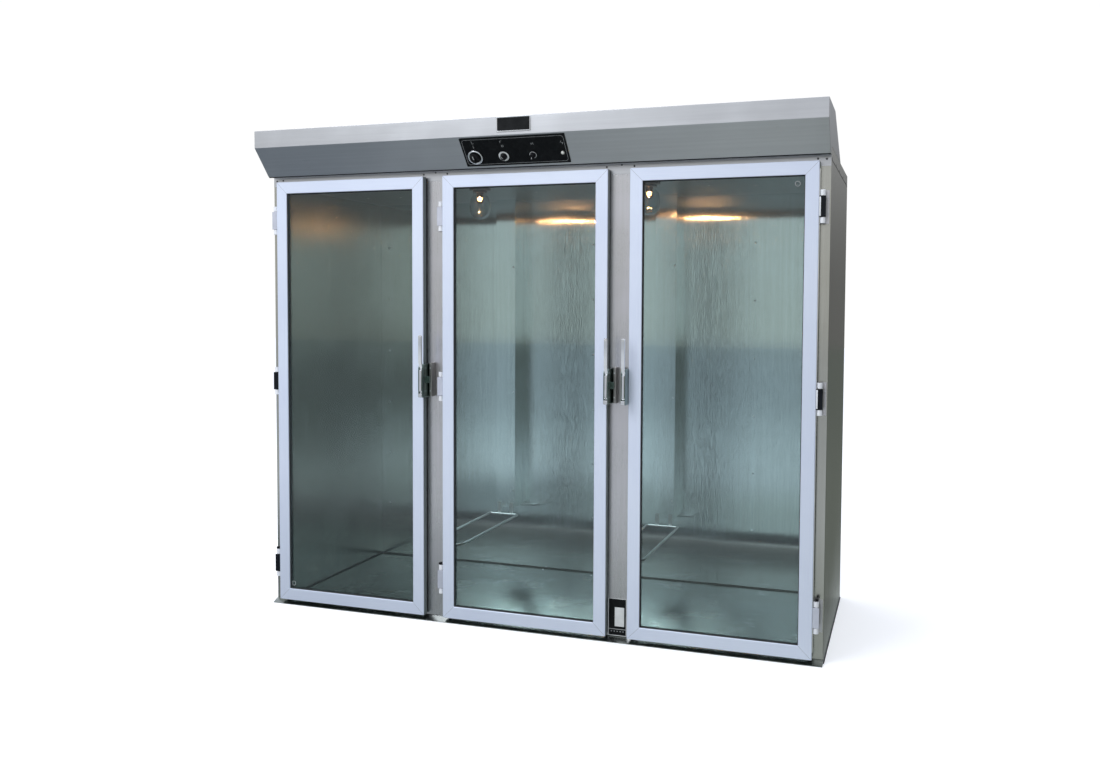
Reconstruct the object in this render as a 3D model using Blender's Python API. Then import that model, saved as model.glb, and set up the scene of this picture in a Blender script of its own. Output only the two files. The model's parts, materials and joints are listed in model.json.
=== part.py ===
# A proofing cabinet: an insulated chamber with three glazed doors side by side,
# two ceiling lamps, warm air ducts, and the controls in a canopy over the front.
# Lengths are metres. Z is up, the ground is Z = 0 and the doors face -Y.
import math

import bmesh
import bpy
from mathutils import Matrix, Vector

# Running clearances
GAP = 0.0003
TURN_GAP = 0.0004
SWING_GAP = 0.0020

# Roundness
ROUND_STEPS = 32
SMALL_STEPS = 20
BEND_STEPS = 6
SMOOTH_ANGLE = 32.0

# Body
DOOR_COUNT = 3
DOOR_WIDTH = 0.768
DOOR_HEIGHT = 1.990
DOOR_SPACING = 0.096
SIDE_REVEAL = 0.042
BODY_DEPTH = 0.985
WALL_THICKNESS = 0.050
DOOR_OVERLAP = 0.020
HEADER_OVERLAP = 0.020
FLOOR_THICKNESS = 0.018
DOOR_LIFT = 0.006
FRONT_FRAME_DEPTH = 0.050
HEADER_HEIGHT = 0.028
ROOF_THICKNESS = 0.050
MULLION_SHEET = 0.003
RAMP_REACH = 0.040
RAMP_NOSE = 0.002
CEILING_SHEET = 0.002

# Doors
DOOR_THICKNESS = 0.034
DOOR_STANDOFF = 0.042
FRAME_FACE = 0.054
FRAME_CHAMFER = 0.0015
GLASS_THICKNESS = 0.012
GLASS_SETBACK = 0.011
GROOVE_DEPTH = 0.010
GASKET_INSET = 0.003
GASKET_BASE = 0.016
GASKET_LIP = 0.009
GASKET_FOOT = 0.003

# Hinges
HINGE_HEIGHT = 0.132
HINGE_PIN_RADIUS = 0.004
HINGE_BARREL_RADIUS = 0.010
HINGE_AXIS_OUT = 0.0135
HINGE_AXIS_FORWARD = 0.028
HINGE_KNUCKLE = 0.024
HINGE_FLANGE_WIDTH = 0.026
HINGE_FLANGE_SHEET = 0.003
HINGE_STRIP_SHEET = 0.002
HINGE_STRIP_MARGIN = 0.030
HINGE_STRIP_INSET = 0.006
HINGE_LEAF_THICKNESS = 0.012
HINGE_LEAF_REACH = 0.0068
HINGE_ARM_HALF = 0.0055
HINGE_HEIGHT_SHARES = (0.087, 0.528, 0.910)

# Latches
LATCH_WIDTH = 0.020
LATCH_FRONT = 0.050
LATCH_BACK = 0.006
LATCH_LIFT = 1.002
LATCH_HEIGHT = 0.150
LATCH_SLOPE = 0.016
LATCH_SLOT_FLOOR = 0.024
LATCH_SLOT_LIFT = 0.009
LATCH_PIVOT_LIFT = 0.026
LATCH_PIVOT_BACK = 0.014
LATCH_PIN_RADIUS = 0.0035
LATCH_PAD_REACH = 0.012
LATCH_PAD_DEPTH = 0.010
LATCH_PAD_HEIGHT = 0.030
LEVER_WIDTH = 0.014
LEVER_THICKNESS = 0.009
LEVER_EYE_RADIUS = 0.0085
LEVER_JOG_REACH = 0.014
LEVER_JOG_LIFT = 0.126
LEVER_JOG_HEIGHT = 0.034
LEVER_GRIP_HEIGHT = 0.119
STRIKE_WIDTH = 0.018
STRIKE_DEPTH = 0.034
STRIKE_LIFT = 0.002
STRIKE_HEIGHT = 0.152
STRIKE_NOSE = 0.006
STRIKE_WALL = 0.003

# Canopy
CANOPY_SHEET = 0.002
CANOPY_LIP_LIFT = 0.046
CANOPY_LIP_REACH = 0.044
FASCIA_REACH = 0.150
FASCIA_LIFT = 0.088
FASCIA_HEIGHT = 0.078
CANOPY_TOP_DEPTH = 0.157
CANOPY_TAIL_DEPTH = 0.500

# Controls on the sloping face of the canopy
CONTROL_CENTRE = -0.015
CONTROL_WIDTH = 0.480
CONTROL_HEIGHT = 0.142
CONTROL_SHEET = 0.002
CONTROL_CORNER = 0.003
CONTROL_MIDDLE = 0.078
KNOB_ROW = 0.102
KNOB_PITCH = 0.134
FIRST_KNOB = -0.188
LAMP_ROW = 0.099
TEMPERATURE_SKIRT_RADIUS = 0.035
HUMIDITY_SKIRT_RADIUS = 0.0245
MODE_SKIRT_RADIUS = 0.0165
SKIRT_THICKNESS = 0.003
TEMPERATURE_GRIP_RADIUS = 0.023
HUMIDITY_GRIP_RADIUS = 0.0145
MODE_GRIP_RADIUS = 0.0125
GRIP_HEIGHT = 0.020
GRIP_BAR_WIDTH = 0.008
GRIP_BAR_HEIGHT = 0.006
PILOT_RADIUS = 0.0075
PILOT_HEIGHT = 0.007

# Plates
BADGE_WIDTH = 0.156
BADGE_HEIGHT = 0.064
BADGE_THICKNESS = 0.004
BADGE_BORDER = 0.004
BADGE_SINK = 0.001
BADGE_DROP = 0.005
RATING_WIDTH = 0.082
RATING_HEIGHT = 0.163
RATING_LIFT = 0.001
RATING_INSET = 0.002
RATING_THICKNESS = 0.001

# Ceiling lamps
LAMP_DEPTH = 0.262
LEFT_LAMP_PLACE = -0.335
RIGHT_LAMP_PLACE = 0.485
LAMP_RADIUS = 0.050
LAMP_PLATE = 0.014
LAMP_NECK_RADIUS = 0.034
LAMP_NECK_HEIGHT = 0.022
LAMP_SOCKET_RADIUS = 0.016
LAMP_SOCKET_HEIGHT = 0.034
GLOBE_RADIUS = 0.050
GLOBE_HEIGHT = 0.124
GLOBE_WALL = 0.003
GLOBE_COLLAR = 0.012
GLOBE_SIDE_SHARES = (
    (0.667, 0.0), (0.667, 0.11), (0.86, 0.22), (0.97, 0.36), (1.0, 0.52),
    (0.96, 0.70), (0.80, 0.86), (0.52, 0.96), (0.22, 1.0),
)

# Air ducts down the rear wall
DUCT_WIDTH = 0.108
DUCT_DEPTH = 0.118
DUCT_SHEET = 0.0015
DUCT_BOTTOM = 0.364

# Guide rails between the bays
GUIDE_HALF_SPACING = 0.080
GUIDE_FRONT_HALF_SPACING = 0.056
GUIDE_RADIUS = 0.006
GUIDE_DROP = 0.034
GUIDE_TAPER_START = 0.020
GUIDE_TAPER_END = 0.070
GUIDE_BEND_RADIUS = 0.015
GUIDE_TAB_WIDTH = 0.020
GUIDE_TAB_HEIGHT = 0.060
GUIDE_TAB_SHEET = 0.003
GUIDE_TAB_SPREAD = 0.034
GUIDE_DUCT_CLEARANCE = 0.020

# Air handling inside the canopy
RETURN_CENTRE = -0.010
RETURN_WIDTH = 0.220
RETURN_FRONT = 0.090
RETURN_DEPTH = 0.120
RETURN_COLLAR = 0.002
SUPPLY_CENTRE = 0.260
SUPPLY_WIDTH = 0.064
SUPPLY_FRONT = 0.008
SUPPLY_DEPTH = 0.060
BLOWER_DEPTH = 0.070
BLOWER_LIFT = 0.078
BLOWER_WIDTH = 0.070
SCROLL_START_RADIUS = 0.060
SCROLL_END_RADIUS = 0.074
SCROLL_SHEET = 0.002
SCROLL_INLET_RADIUS = 0.034
SCROLL_STEPS = 28
WHEEL_RADIUS = 0.048
WHEEL_HUB_RADIUS = 0.014
WHEEL_WIDTH = 0.046
WHEEL_BLADES = 12
WHEEL_BLADE_ARC = 8.0
WHEEL_BACKPLATE = 0.004
SHAFT_RADIUS = 0.004
MOTOR_RADIUS = 0.036
MOTOR_LENGTH = 0.090
MOTOR_STANDOFF = 0.008
MOTOR_FOOT_WIDTH = 0.070
MOTOR_FOOT_SHEET = 0.004
MOTOR_FOOT_DEPTH = 0.060
MOTOR_LEG_WIDTH = 0.040
MOTOR_LEG_SHEET = 0.008
HEATER_TUBE_RADIUS = 0.004
HEATER_PASSES = 5
HEATER_PITCH = 0.036
HEATER_LENGTH = 0.150
HEATER_LIFT = 0.020
HEATER_BEND_RADIUS = 0.0175
HEATER_START_DEPTH = 0.075
PAN_CENTRE = -0.330
PAN_WIDTH = 0.260
PAN_DEPTH = 0.150
PAN_HEIGHT = 0.055
PAN_SHEET = 0.0015
PAN_FRONT = 0.060

# Derived places
BODY_HALF = (DOOR_COUNT * DOOR_WIDTH + (DOOR_COUNT - 1) * DOOR_SPACING) / 2 + SIDE_REVEAL
FACE_Y = -BODY_DEPTH / 2
BACK_Y = BODY_DEPTH / 2
WALL_INNER = BODY_HALF - WALL_THICKNESS
JAMB_INNER = BODY_HALF - SIDE_REVEAL - DOOR_OVERLAP
REAR_INNER_Y = BACK_Y - WALL_THICKNESS
DOOR_BOTTOM = FLOOR_THICKNESS + DOOR_LIFT
DOOR_TOP = DOOR_BOTTOM + DOOR_HEIGHT
HEADER_BOTTOM = DOOR_TOP - HEADER_OVERLAP
ROOF_BOTTOM = HEADER_BOTTOM + HEADER_HEIGHT
ROOF_TOP = ROOF_BOTTOM + ROOF_THICKNESS
CANOPY_LIP_HEIGHT = HEADER_BOTTOM + CANOPY_LIP_LIFT
FASCIA_BOTTOM = ROOF_TOP + FASCIA_LIFT
FASCIA_TOP = FASCIA_BOTTOM + FASCIA_HEIGHT
LATCH_BOTTOM = DOOR_BOTTOM + LATCH_LIFT
LEVER_JOG_BOTTOM = LATCH_BOTTOM + LEVER_JOG_LIFT
LEVER_JOG_TOP = LEVER_JOG_BOTTOM + LEVER_JOG_HEIGHT
LEVER_TOP = LEVER_JOG_TOP + LEVER_GRIP_HEIGHT
STRIKE_BOTTOM = LATCH_BOTTOM + STRIKE_LIFT
GUIDE_HEIGHT = DUCT_BOTTOM - GUIDE_DROP
WALL_BOTTOM = FLOOR_THICKNESS + GAP
DOOR_FRONT_Y = FACE_Y - DOOR_STANDOFF
HINGE_AXIS_Y = FACE_Y - HINGE_AXIS_FORWARD
MULLION_PLACE = (DOOR_WIDTH + DOOR_SPACING) / 2
MULLION_HALF = DOOR_SPACING / 2 + DOOR_OVERLAP
DUCT_BACK_Y = REAR_INNER_Y - GAP
DUCT_FRONT_Y = DUCT_BACK_Y - DUCT_DEPTH
GUIDE_END_Y = DUCT_FRONT_Y - GUIDE_DUCT_CLEARANCE
SIDES = (("left", -1), ("right", 1))
DOORS = (("left", -1, -1), ("middle", 0, -1), ("right", 1, 1))

# Finishes: colour, roughness, metallic, alpha
STAINLESS = ((0.52, 0.52, 0.50), 0.32, 1.0, 1.0)
SIDE_STAINLESS = ((0.42, 0.42, 0.38), 0.28, 1.0, 1.0)
FLOOR_STAINLESS = ((0.40, 0.42, 0.40), 0.25, 1.0, 1.0)
ANODISED = ((0.80, 0.83, 0.88), 0.38, 0.85, 1.0)
CHROME = ((0.78, 0.78, 0.80), 0.12, 1.0, 1.0)
BLACK_PLASTIC = ((0.015, 0.015, 0.017), 0.35, 0.0, 1.0)
PANEL_BLACK = ((0.010, 0.010, 0.012), 0.30, 0.0, 1.0)
RUBBER = ((0.020, 0.020, 0.022), 0.75, 0.0, 1.0)
GLASS = ((0.78, 0.86, 0.83), 0.03, 0.0, 0.35)
CLEAR_GLASS = ((0.95, 0.93, 0.88), 0.03, 0.0, 0.35)
WHITE_CERAMIC = ((0.82, 0.80, 0.76), 0.45, 0.0, 1.0)
PALE_LENS = ((0.80, 0.80, 0.74), 0.15, 0.0, 1.0)
PLATE_BLACK = ((0.020, 0.020, 0.022), 0.40, 0.0, 1.0)
GALVANISED = ((0.55, 0.57, 0.58), 0.45, 0.9, 1.0)
MOTOR_GREY = ((0.18, 0.19, 0.20), 0.50, 0.3, 1.0)
HEATER_METAL = ((0.25, 0.22, 0.20), 0.55, 0.8, 1.0)


def clear_scene():
    for item in list(bpy.data.objects):
        bpy.data.objects.remove(item, do_unlink=True)


def make_material(name, finish):
    colour, roughness, metallic, alpha = finish
    material = bpy.data.materials.new(name + "_finish")
    material.use_nodes = True
    shader = material.node_tree.nodes["Principled BSDF"]
    shader.inputs["Base Color"].default_value = (*colour, 1.0)
    shader.inputs["Roughness"].default_value = roughness
    shader.inputs["Metallic"].default_value = metallic
    shader.inputs["Alpha"].default_value = alpha
    return material


def make_object(name, vertices, faces, finish=None):
    mesh = bpy.data.meshes.new(name)
    mesh.from_pydata([tuple(point) for point in vertices], [], faces)
    shape = bmesh.new()
    shape.from_mesh(mesh)
    bmesh.ops.recalc_face_normals(shape, faces=shape.faces)
    shape.to_mesh(mesh)
    shape.free()
    item = bpy.data.objects.new(name, mesh)
    bpy.context.scene.collection.objects.link(item)
    if finish is not None:
        mesh.materials.append(make_material(name, finish))
    return item


def smooth(item):
    item.data.shade_smooth()
    item.data.set_sharp_from_angle(angle=math.radians(SMOOTH_ANGLE))
    return item


def span(a, b):
    return (min(a, b), max(a, b))


def place(axis, along, first, second):
    if axis == "X":
        return (along, first, second)
    if axis == "Y":
        return (first, along, second)
    return (first, second, along)


def extrude(name, outline, axis, ends, finish=None):
    low, high = ends
    count = len(outline)
    vertices = [place(axis, low, *point) for point in outline]
    vertices += [place(axis, high, *point) for point in outline]
    faces = [tuple(range(count)), tuple(range(count, 2 * count))]
    for i in range(count):
        j = (i + 1) % count
        faces.append((i, j, count + j, count + i))
    return make_object(name, vertices, faces, finish)


def box(name, xs, ys, zs, finish=None):
    outline = [(xs[0], ys[0]), (xs[1], ys[0]), (xs[1], ys[1]), (xs[0], ys[1])]
    return extrude(name, outline, "Z", zs, finish)


def frame_ring(name, xs, zs, section, finish):
    corners = [(xs[0], zs[0], 1, 1), (xs[1], zs[0], -1, 1),
               (xs[1], zs[1], -1, -1), (xs[0], zs[1], 1, -1)]
    count = len(section)
    vertices = [(x + sx * inset, y, z + sz * inset)
                for x, z, sx, sz in corners for inset, y in section]
    faces = []
    for c in range(len(corners)):
        d = (c + 1) % len(corners)
        for i in range(count):
            j = (i + 1) % count
            faces.append((c * count + i, c * count + j, d * count + j, d * count + i))
    return make_object(name, vertices, faces, finish)


def turn(name, profile, steps, finish=None):
    """Points are (radius, height) about Z; a profile that starts and ends on the axis is closed by it."""
    vertices, rings = [], []
    for radius, height in profile:
        if radius == 0:
            rings.append([len(vertices)])
            vertices.append((0, 0, height))
            continue
        rings.append(list(range(len(vertices), len(vertices) + steps)))
        for k in range(steps):
            angle = math.tau * k / steps
            vertices.append((radius * math.cos(angle), radius * math.sin(angle), height))
    on_axis = profile[0][0] == 0
    ahead = rings[1:] if on_axis else rings[1:] + rings[:1]
    pairs = list(zip(rings, ahead))
    faces = []
    for low, high in pairs:
        for k in range(steps):
            m = (k + 1) % steps
            if len(low) == 1:
                faces.append((low[0], high[k], high[m]))
            elif len(high) == 1:
                faces.append((low[k], low[m], high[0]))
            else:
                faces.append((low[k], low[m], high[m], high[k]))
    return make_object(name, vertices, faces, finish)


def move(item, matrix):
    item.data.transform(matrix)
    item.data.update()
    return item


def shift(item, x, y, z):
    return move(item, Matrix.Translation((x, y, z)))


def rod(name, axis, centre, ends, radius, steps, finish=None):
    low, high = ends
    turns = {"X": Matrix.Rotation(math.pi / 2, 4, "Y"),
             "Y": Matrix.Rotation(-math.pi / 2, 4, "X"),
             "Z": Matrix.Identity(4)}
    item = turn(name, [(0, low), (radius, low), (radius, high), (0, high)], steps, finish)
    move(item, turns[axis])
    return shift(item, *place(axis, 0, *centre))


def rounded_path(points, radius, steps):
    corners = [Vector(point) for point in points]
    path = [corners[0]]
    for before, here, after in zip(corners, corners[1:], corners[2:]):
        a = (before - here).normalized()
        b = (after - here).normalized()
        reach = radius / math.tan(a.angle(b) / 2)
        start, end = here + a * reach, here + b * reach
        for k in range(steps + 1):
            t = k / steps
            path.append(start * (1 - t) ** 2 + here * 2 * t * (1 - t) + end * t ** 2)
    path.append(corners[-1])
    return path


def sweep(name, path, radius, steps, finish=None):
    vertices, faces = [], []
    side = None
    for i, point in enumerate(path):
        ahead = path[min(i + 1, len(path) - 1)] - path[max(i - 1, 0)]
        ahead.normalize()
        if side is None:
            side = ahead.orthogonal().normalized()
        side = (side - ahead * side.dot(ahead)).normalized()
        other = ahead.cross(side)
        for k in range(steps):
            angle = math.tau * k / steps
            around = side * math.cos(angle) + other * math.sin(angle)
            vertices.append(point + around * radius)
    last = (len(path) - 1) * steps
    for i in range(len(path) - 1):
        for k in range(steps):
            m = (k + 1) % steps
            faces.append((i * steps + k, i * steps + m, (i + 1) * steps + m, (i + 1) * steps + k))
    faces.append(tuple(range(steps)))
    faces.append(tuple(range(last, last + steps)))
    return make_object(name, vertices, faces, finish)


def combine(item, tool, operation):
    tool.hide_render = True
    tool.display_type = "WIRE"
    modifier = item.modifiers.new("shape", "BOOLEAN")
    modifier.operation = operation
    modifier.solver = "EXACT"
    modifier.object = tool
    graph = bpy.context.evaluated_depsgraph_get()
    result = bpy.data.meshes.new_from_object(item.evaluated_get(graph))
    item.modifiers.remove(modifier)
    item.data = result
    bpy.data.objects.remove(tool, do_unlink=True)
    return item


def cut(item, tool):
    return combine(item, tool, "DIFFERENCE")


def fuse(item, tool):
    return combine(item, tool, "UNION")


def set_origin(item, x, y, z):
    shift(item, -x, -y, -z)
    item.location = (x, y, z)
    return item


def carry(holder, item):
    """The item moves with its holder and stays where it is."""
    item.parent = holder
    item.matrix_parent_inverse = holder.matrix_basis.inverted()


def door_span(column):
    centre = column * (DOOR_WIDTH + DOOR_SPACING)
    return (centre - DOOR_WIDTH / 2, centre + DOOR_WIDTH / 2)


def hinge_axis(column, side):
    edge = door_span(column)[0] if side < 0 else door_span(column)[1]
    return edge + side * HINGE_AXIS_OUT


def build_floor():
    nose = FACE_Y - RAMP_REACH
    outline = [(nose, 0), (nose, RAMP_NOSE), (FACE_Y, FLOOR_THICKNESS),
               (BACK_Y, FLOOR_THICKNESS), (BACK_Y, 0)]
    extrude("floor_pan", outline, "X", (-BODY_HALF, BODY_HALF), FLOOR_STAINLESS)


def build_side_walls():
    for label, side in SIDES:
        outline = [(side * BODY_HALF, FACE_Y), (side * JAMB_INNER, FACE_Y),
                   (side * JAMB_INNER, FACE_Y + FRONT_FRAME_DEPTH),
                   (side * WALL_INNER, FACE_Y + FRONT_FRAME_DEPTH),
                   (side * WALL_INNER, BACK_Y), (side * BODY_HALF, BACK_Y)]
        extrude(label + "_wall", outline, "Z", (WALL_BOTTOM, ROOF_BOTTOM - GAP), SIDE_STAINLESS)


def build_rear_wall():
    inner = WALL_INNER - GAP
    box("rear_wall", (-inner, inner), (REAR_INNER_Y, BACK_Y), (WALL_BOTTOM, ROOF_BOTTOM - GAP),
        STAINLESS)


def build_header():
    inner = JAMB_INNER - GAP
    box("header_rail", (-inner, inner), (FACE_Y, FACE_Y + FRONT_FRAME_DEPTH),
        (HEADER_BOTTOM, ROOF_BOTTOM - GAP), STAINLESS)


def build_mullions():
    top = HEADER_BOTTOM - GAP
    rear = FACE_Y + FRONT_FRAME_DEPTH
    for label, side in SIDES:
        middle = side * MULLION_PLACE
        left, right = middle - MULLION_HALF, middle + MULLION_HALF
        outline = [(left, FACE_Y), (right, FACE_Y), (right, rear), (right - MULLION_SHEET, rear),
                   (right - MULLION_SHEET, FACE_Y + MULLION_SHEET),
                   (left + MULLION_SHEET, FACE_Y + MULLION_SHEET),
                   (left + MULLION_SHEET, rear), (left, rear)]
        extrude(label + "_mullion", outline, "Z", (WALL_BOTTOM, top), STAINLESS)


def return_span():
    return (RETURN_CENTRE - RETURN_WIDTH / 2, RETURN_CENTRE + RETURN_WIDTH / 2)


def return_depths():
    return (FACE_Y + RETURN_FRONT, FACE_Y + RETURN_FRONT + RETURN_DEPTH)


def build_roof():
    roof = box("roof_panel", (-BODY_HALF, BODY_HALF), (FACE_Y, BACK_Y), (ROOF_BOTTOM, ROOF_TOP),
               STAINLESS)
    through = (ROOF_BOTTOM - ROOF_THICKNESS, ROOF_TOP + ROOF_THICKNESS)
    cut(roof, box("cutter", return_span(), return_depths(), through))
    supply = (SUPPLY_CENTRE - SUPPLY_WIDTH / 2, SUPPLY_CENTRE + SUPPLY_WIDTH / 2)
    front = FACE_Y + FRONT_FRAME_DEPTH + SUPPLY_FRONT
    cut(roof, box("cutter", supply, (front, front + SUPPLY_DEPTH), through))


def build_ceiling():
    inner = WALL_INNER - GAP
    bottom = HEADER_BOTTOM
    depths = (FACE_Y + FRONT_FRAME_DEPTH + GAP, REAR_INNER_Y - GAP)
    ceiling = box("ceiling_panel", (-inner, inner), depths, (bottom, bottom + CEILING_SHEET),
                  STAINLESS)
    xs, ys = return_span(), return_depths()
    outer_x = (xs[0] - RETURN_COLLAR, xs[1] + RETURN_COLLAR)
    outer_y = (ys[0] - RETURN_COLLAR, ys[1] + RETURN_COLLAR)
    fuse(ceiling, box("collar", outer_x, outer_y, (bottom, ROOF_BOTTOM - GAP)))
    through = (bottom - HEADER_HEIGHT, ROOF_TOP)
    cut(ceiling, box("cutter", xs, ys, through))
    half = DUCT_WIDTH / 2 - DUCT_SHEET
    ys = (DUCT_FRONT_Y + DUCT_SHEET, DUCT_BACK_Y - DUCT_SHEET)
    for middle in (-MULLION_PLACE, MULLION_PLACE):
        cut(ceiling, box("cutter", (middle - half, middle + half), ys, through))


def build_ducts():
    zs = (DUCT_BOTTOM, HEADER_BOTTOM - GAP)
    for label, side in SIDES:
        middle = side * MULLION_PLACE
        half = DUCT_WIDTH / 2
        duct = box(label + "_air_duct", (middle - half, middle + half),
                   (DUCT_FRONT_Y, DUCT_BACK_Y), zs, STAINLESS)
        inner = half - DUCT_SHEET
        ys = (DUCT_FRONT_Y + DUCT_SHEET, DUCT_BACK_Y - DUCT_SHEET)
        through = (zs[0] - DUCT_WIDTH, zs[1] + DUCT_WIDTH)
        cut(duct, box("cutter", (middle - inner, middle + inner), ys, through))


def build_guides():
    front = FACE_Y + FRONT_FRAME_DEPTH + GAP
    for label, side in SIDES:
        middle = side * MULLION_PLACE
        plan = [(-GUIDE_FRONT_HALF_SPACING, front),
                (-GUIDE_FRONT_HALF_SPACING, front + GUIDE_TAPER_START),
                (-GUIDE_HALF_SPACING, front + GUIDE_TAPER_END),
                (-GUIDE_HALF_SPACING, GUIDE_END_Y)]
        plan += [(-x, y) for x, y in reversed(plan)]
        points = [(middle + x, y, GUIDE_HEIGHT) for x, y in plan]
        path = rounded_path(points, GUIDE_BEND_RADIUS, BEND_STEPS)
        guide = sweep(label + "_rack_guide", path, GUIDE_RADIUS, SMALL_STEPS // 2, STAINLESS)
        for tab_side in (-1, 1):
            x = middle + tab_side * GUIDE_TAB_SPREAD
            xs = (x - GUIDE_TAB_WIDTH / 2, x + GUIDE_TAB_WIDTH / 2)
            zs = (GUIDE_HEIGHT - GUIDE_RADIUS / 2, GUIDE_HEIGHT + GUIDE_RADIUS / 2)
            fuse(guide, box("tab", xs, (GUIDE_END_Y, DUCT_FRONT_Y - GAP), zs))
            upright = (GUIDE_HEIGHT - GUIDE_RADIUS / 2, GUIDE_HEIGHT + GUIDE_TAB_HEIGHT)
            ys = (DUCT_FRONT_Y - GAP - GUIDE_TAB_SHEET, DUCT_FRONT_Y - GAP)
            fuse(guide, box("tab", xs, ys, upright))
        smooth(guide)


def canopy_point(x, down, out):
    """A place on the sloping face: down it from the fascia, and out of it."""
    top = Vector((0, FACE_Y - FASCIA_REACH, FASCIA_BOTTOM))
    foot = Vector((0, FACE_Y - CANOPY_LIP_REACH, CANOPY_LIP_HEIGHT))
    along = (foot - top).normalized()
    outward = Vector((1, 0, 0)).cross(along).normalized()
    if outward.y > 0:
        outward = -outward
    return Vector((x, 0, 0)) + top + along * down + outward * out, along, outward


def build_canopy():
    back = FACE_Y - GAP
    outline = [(back, CANOPY_LIP_HEIGHT), (FACE_Y - CANOPY_LIP_REACH, CANOPY_LIP_HEIGHT),
               (FACE_Y - FASCIA_REACH, FASCIA_BOTTOM), (FACE_Y - FASCIA_REACH, FASCIA_TOP),
               (FACE_Y + CANOPY_TOP_DEPTH, FASCIA_TOP), (FACE_Y + CANOPY_TAIL_DEPTH, ROOF_TOP + GAP),
               (back, ROOF_TOP + GAP)]
    canopy = extrude("canopy_shell", outline, "X", (-BODY_HALF, BODY_HALF), STAINLESS)
    sheet = CANOPY_SHEET
    slope = math.hypot(FASCIA_REACH - CANOPY_LIP_REACH, FASCIA_BOTTOM - CANOPY_LIP_HEIGHT)
    run = (FASCIA_REACH - CANOPY_LIP_REACH) / slope
    rise = (FASCIA_BOTTOM - CANOPY_LIP_HEIGHT) / slope
    tail_run = CANOPY_TAIL_DEPTH - CANOPY_TOP_DEPTH
    tail_drop = FASCIA_TOP - ROOF_TOP - GAP
    tail = math.hypot(tail_run, tail_drop)
    # where each inner face meets its neighbour, one sheet thickness in from the outer faces
    lip_turn = sheet * (1 - run) / rise
    fascia_turn = sheet * (1 - rise) / run
    top_turn = sheet * (tail - tail_run) / tail_drop
    tail_turn = sheet * tail / tail_drop
    below = ROOF_BOTTOM
    inner = [(back + sheet, CANOPY_LIP_HEIGHT + sheet),
             (FACE_Y - CANOPY_LIP_REACH + lip_turn, CANOPY_LIP_HEIGHT + sheet),
             (FACE_Y - FASCIA_REACH + sheet, FASCIA_BOTTOM + fascia_turn),
             (FACE_Y - FASCIA_REACH + sheet, FASCIA_TOP - sheet),
             (FACE_Y + CANOPY_TOP_DEPTH - top_turn, FASCIA_TOP - sheet),
             (FACE_Y + CANOPY_TAIL_DEPTH - tail_turn, ROOF_TOP + GAP),
             (FACE_Y + CANOPY_TAIL_DEPTH - tail_turn, below), (back + sheet, below)]
    cut(canopy, extrude("cutter", inner, "X", (-BODY_HALF + sheet, BODY_HALF - sheet)))


def rounded_rectangle(width, height, radius, steps):
    points = []
    corners = ((1, 1, 0), (-1, 1, 1), (-1, -1, 2), (1, -1, 3))
    for sx, sy, quarter in corners:
        for k in range(steps + 1):
            angle = math.pi / 2 * (quarter + k / steps)
            points.append((sx * (width / 2 - radius) + radius * math.cos(angle),
                           sy * (height / 2 - radius) + radius * math.sin(angle)))
    return points


def canopy_matrix(x, down, out):
    origin, along, outward = canopy_point(x, down, out)
    across = Vector((1, 0, 0))
    up = -along
    return Matrix.Translation(origin) @ Matrix((across, up, outward)).transposed().to_4x4()


def build_control_plate():
    outline = rounded_rectangle(CONTROL_WIDTH, CONTROL_HEIGHT, CONTROL_CORNER, BEND_STEPS)
    plate = extrude("control_plate", outline, "Z", (0, CONTROL_SHEET), PANEL_BLACK)
    move(plate, canopy_matrix(CONTROL_CENTRE, CONTROL_MIDDLE, GAP))


def build_knob(name, index, skirt, grip, finish):
    x = CONTROL_CENTRE + FIRST_KNOB + index * KNOB_PITCH
    top = SKIRT_THICKNESS + GRIP_HEIGHT
    profile = [(0, 0), (skirt, 0), (skirt, SKIRT_THICKNESS), (grip, SKIRT_THICKNESS),
               (grip - GRIP_BAR_HEIGHT / 4, top - GRIP_BAR_HEIGHT), (0, top - GRIP_BAR_HEIGHT)]
    knob = turn(name, profile, ROUND_STEPS, finish)
    reach = grip - GRIP_BAR_HEIGHT
    bar = box("bar", (-GRIP_BAR_WIDTH / 2, GRIP_BAR_WIDTH / 2), (-reach, reach),
              (SKIRT_THICKNESS, top))
    fuse(knob, bar)
    matrix = canopy_matrix(x, KNOB_ROW, GAP + CONTROL_SHEET + GAP)
    knob.matrix_world = matrix
    smooth(knob)


def build_controls():
    build_control_plate()
    build_knob("temperature_knob", 0, TEMPERATURE_SKIRT_RADIUS, TEMPERATURE_GRIP_RADIUS,
               BLACK_PLASTIC)
    build_knob("humidity_knob", 1, HUMIDITY_SKIRT_RADIUS, HUMIDITY_GRIP_RADIUS, BLACK_PLASTIC)
    build_knob("mode_knob", 2, MODE_SKIRT_RADIUS, MODE_GRIP_RADIUS, BLACK_PLASTIC)
    x = CONTROL_CENTRE + FIRST_KNOB + 3 * KNOB_PITCH
    dome = math.sqrt(1 / 2)
    profile = [(0, 0), (PILOT_RADIUS, 0), (PILOT_RADIUS, PILOT_HEIGHT / 2),
               (PILOT_RADIUS * dome, PILOT_HEIGHT * (1 + dome) / 2), (0, PILOT_HEIGHT)]
    pilot = turn("pilot_lamp", profile, SMALL_STEPS, PALE_LENS)
    move(pilot, canopy_matrix(x, LAMP_ROW, GAP + CONTROL_SHEET + GAP))
    smooth(pilot)


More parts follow.
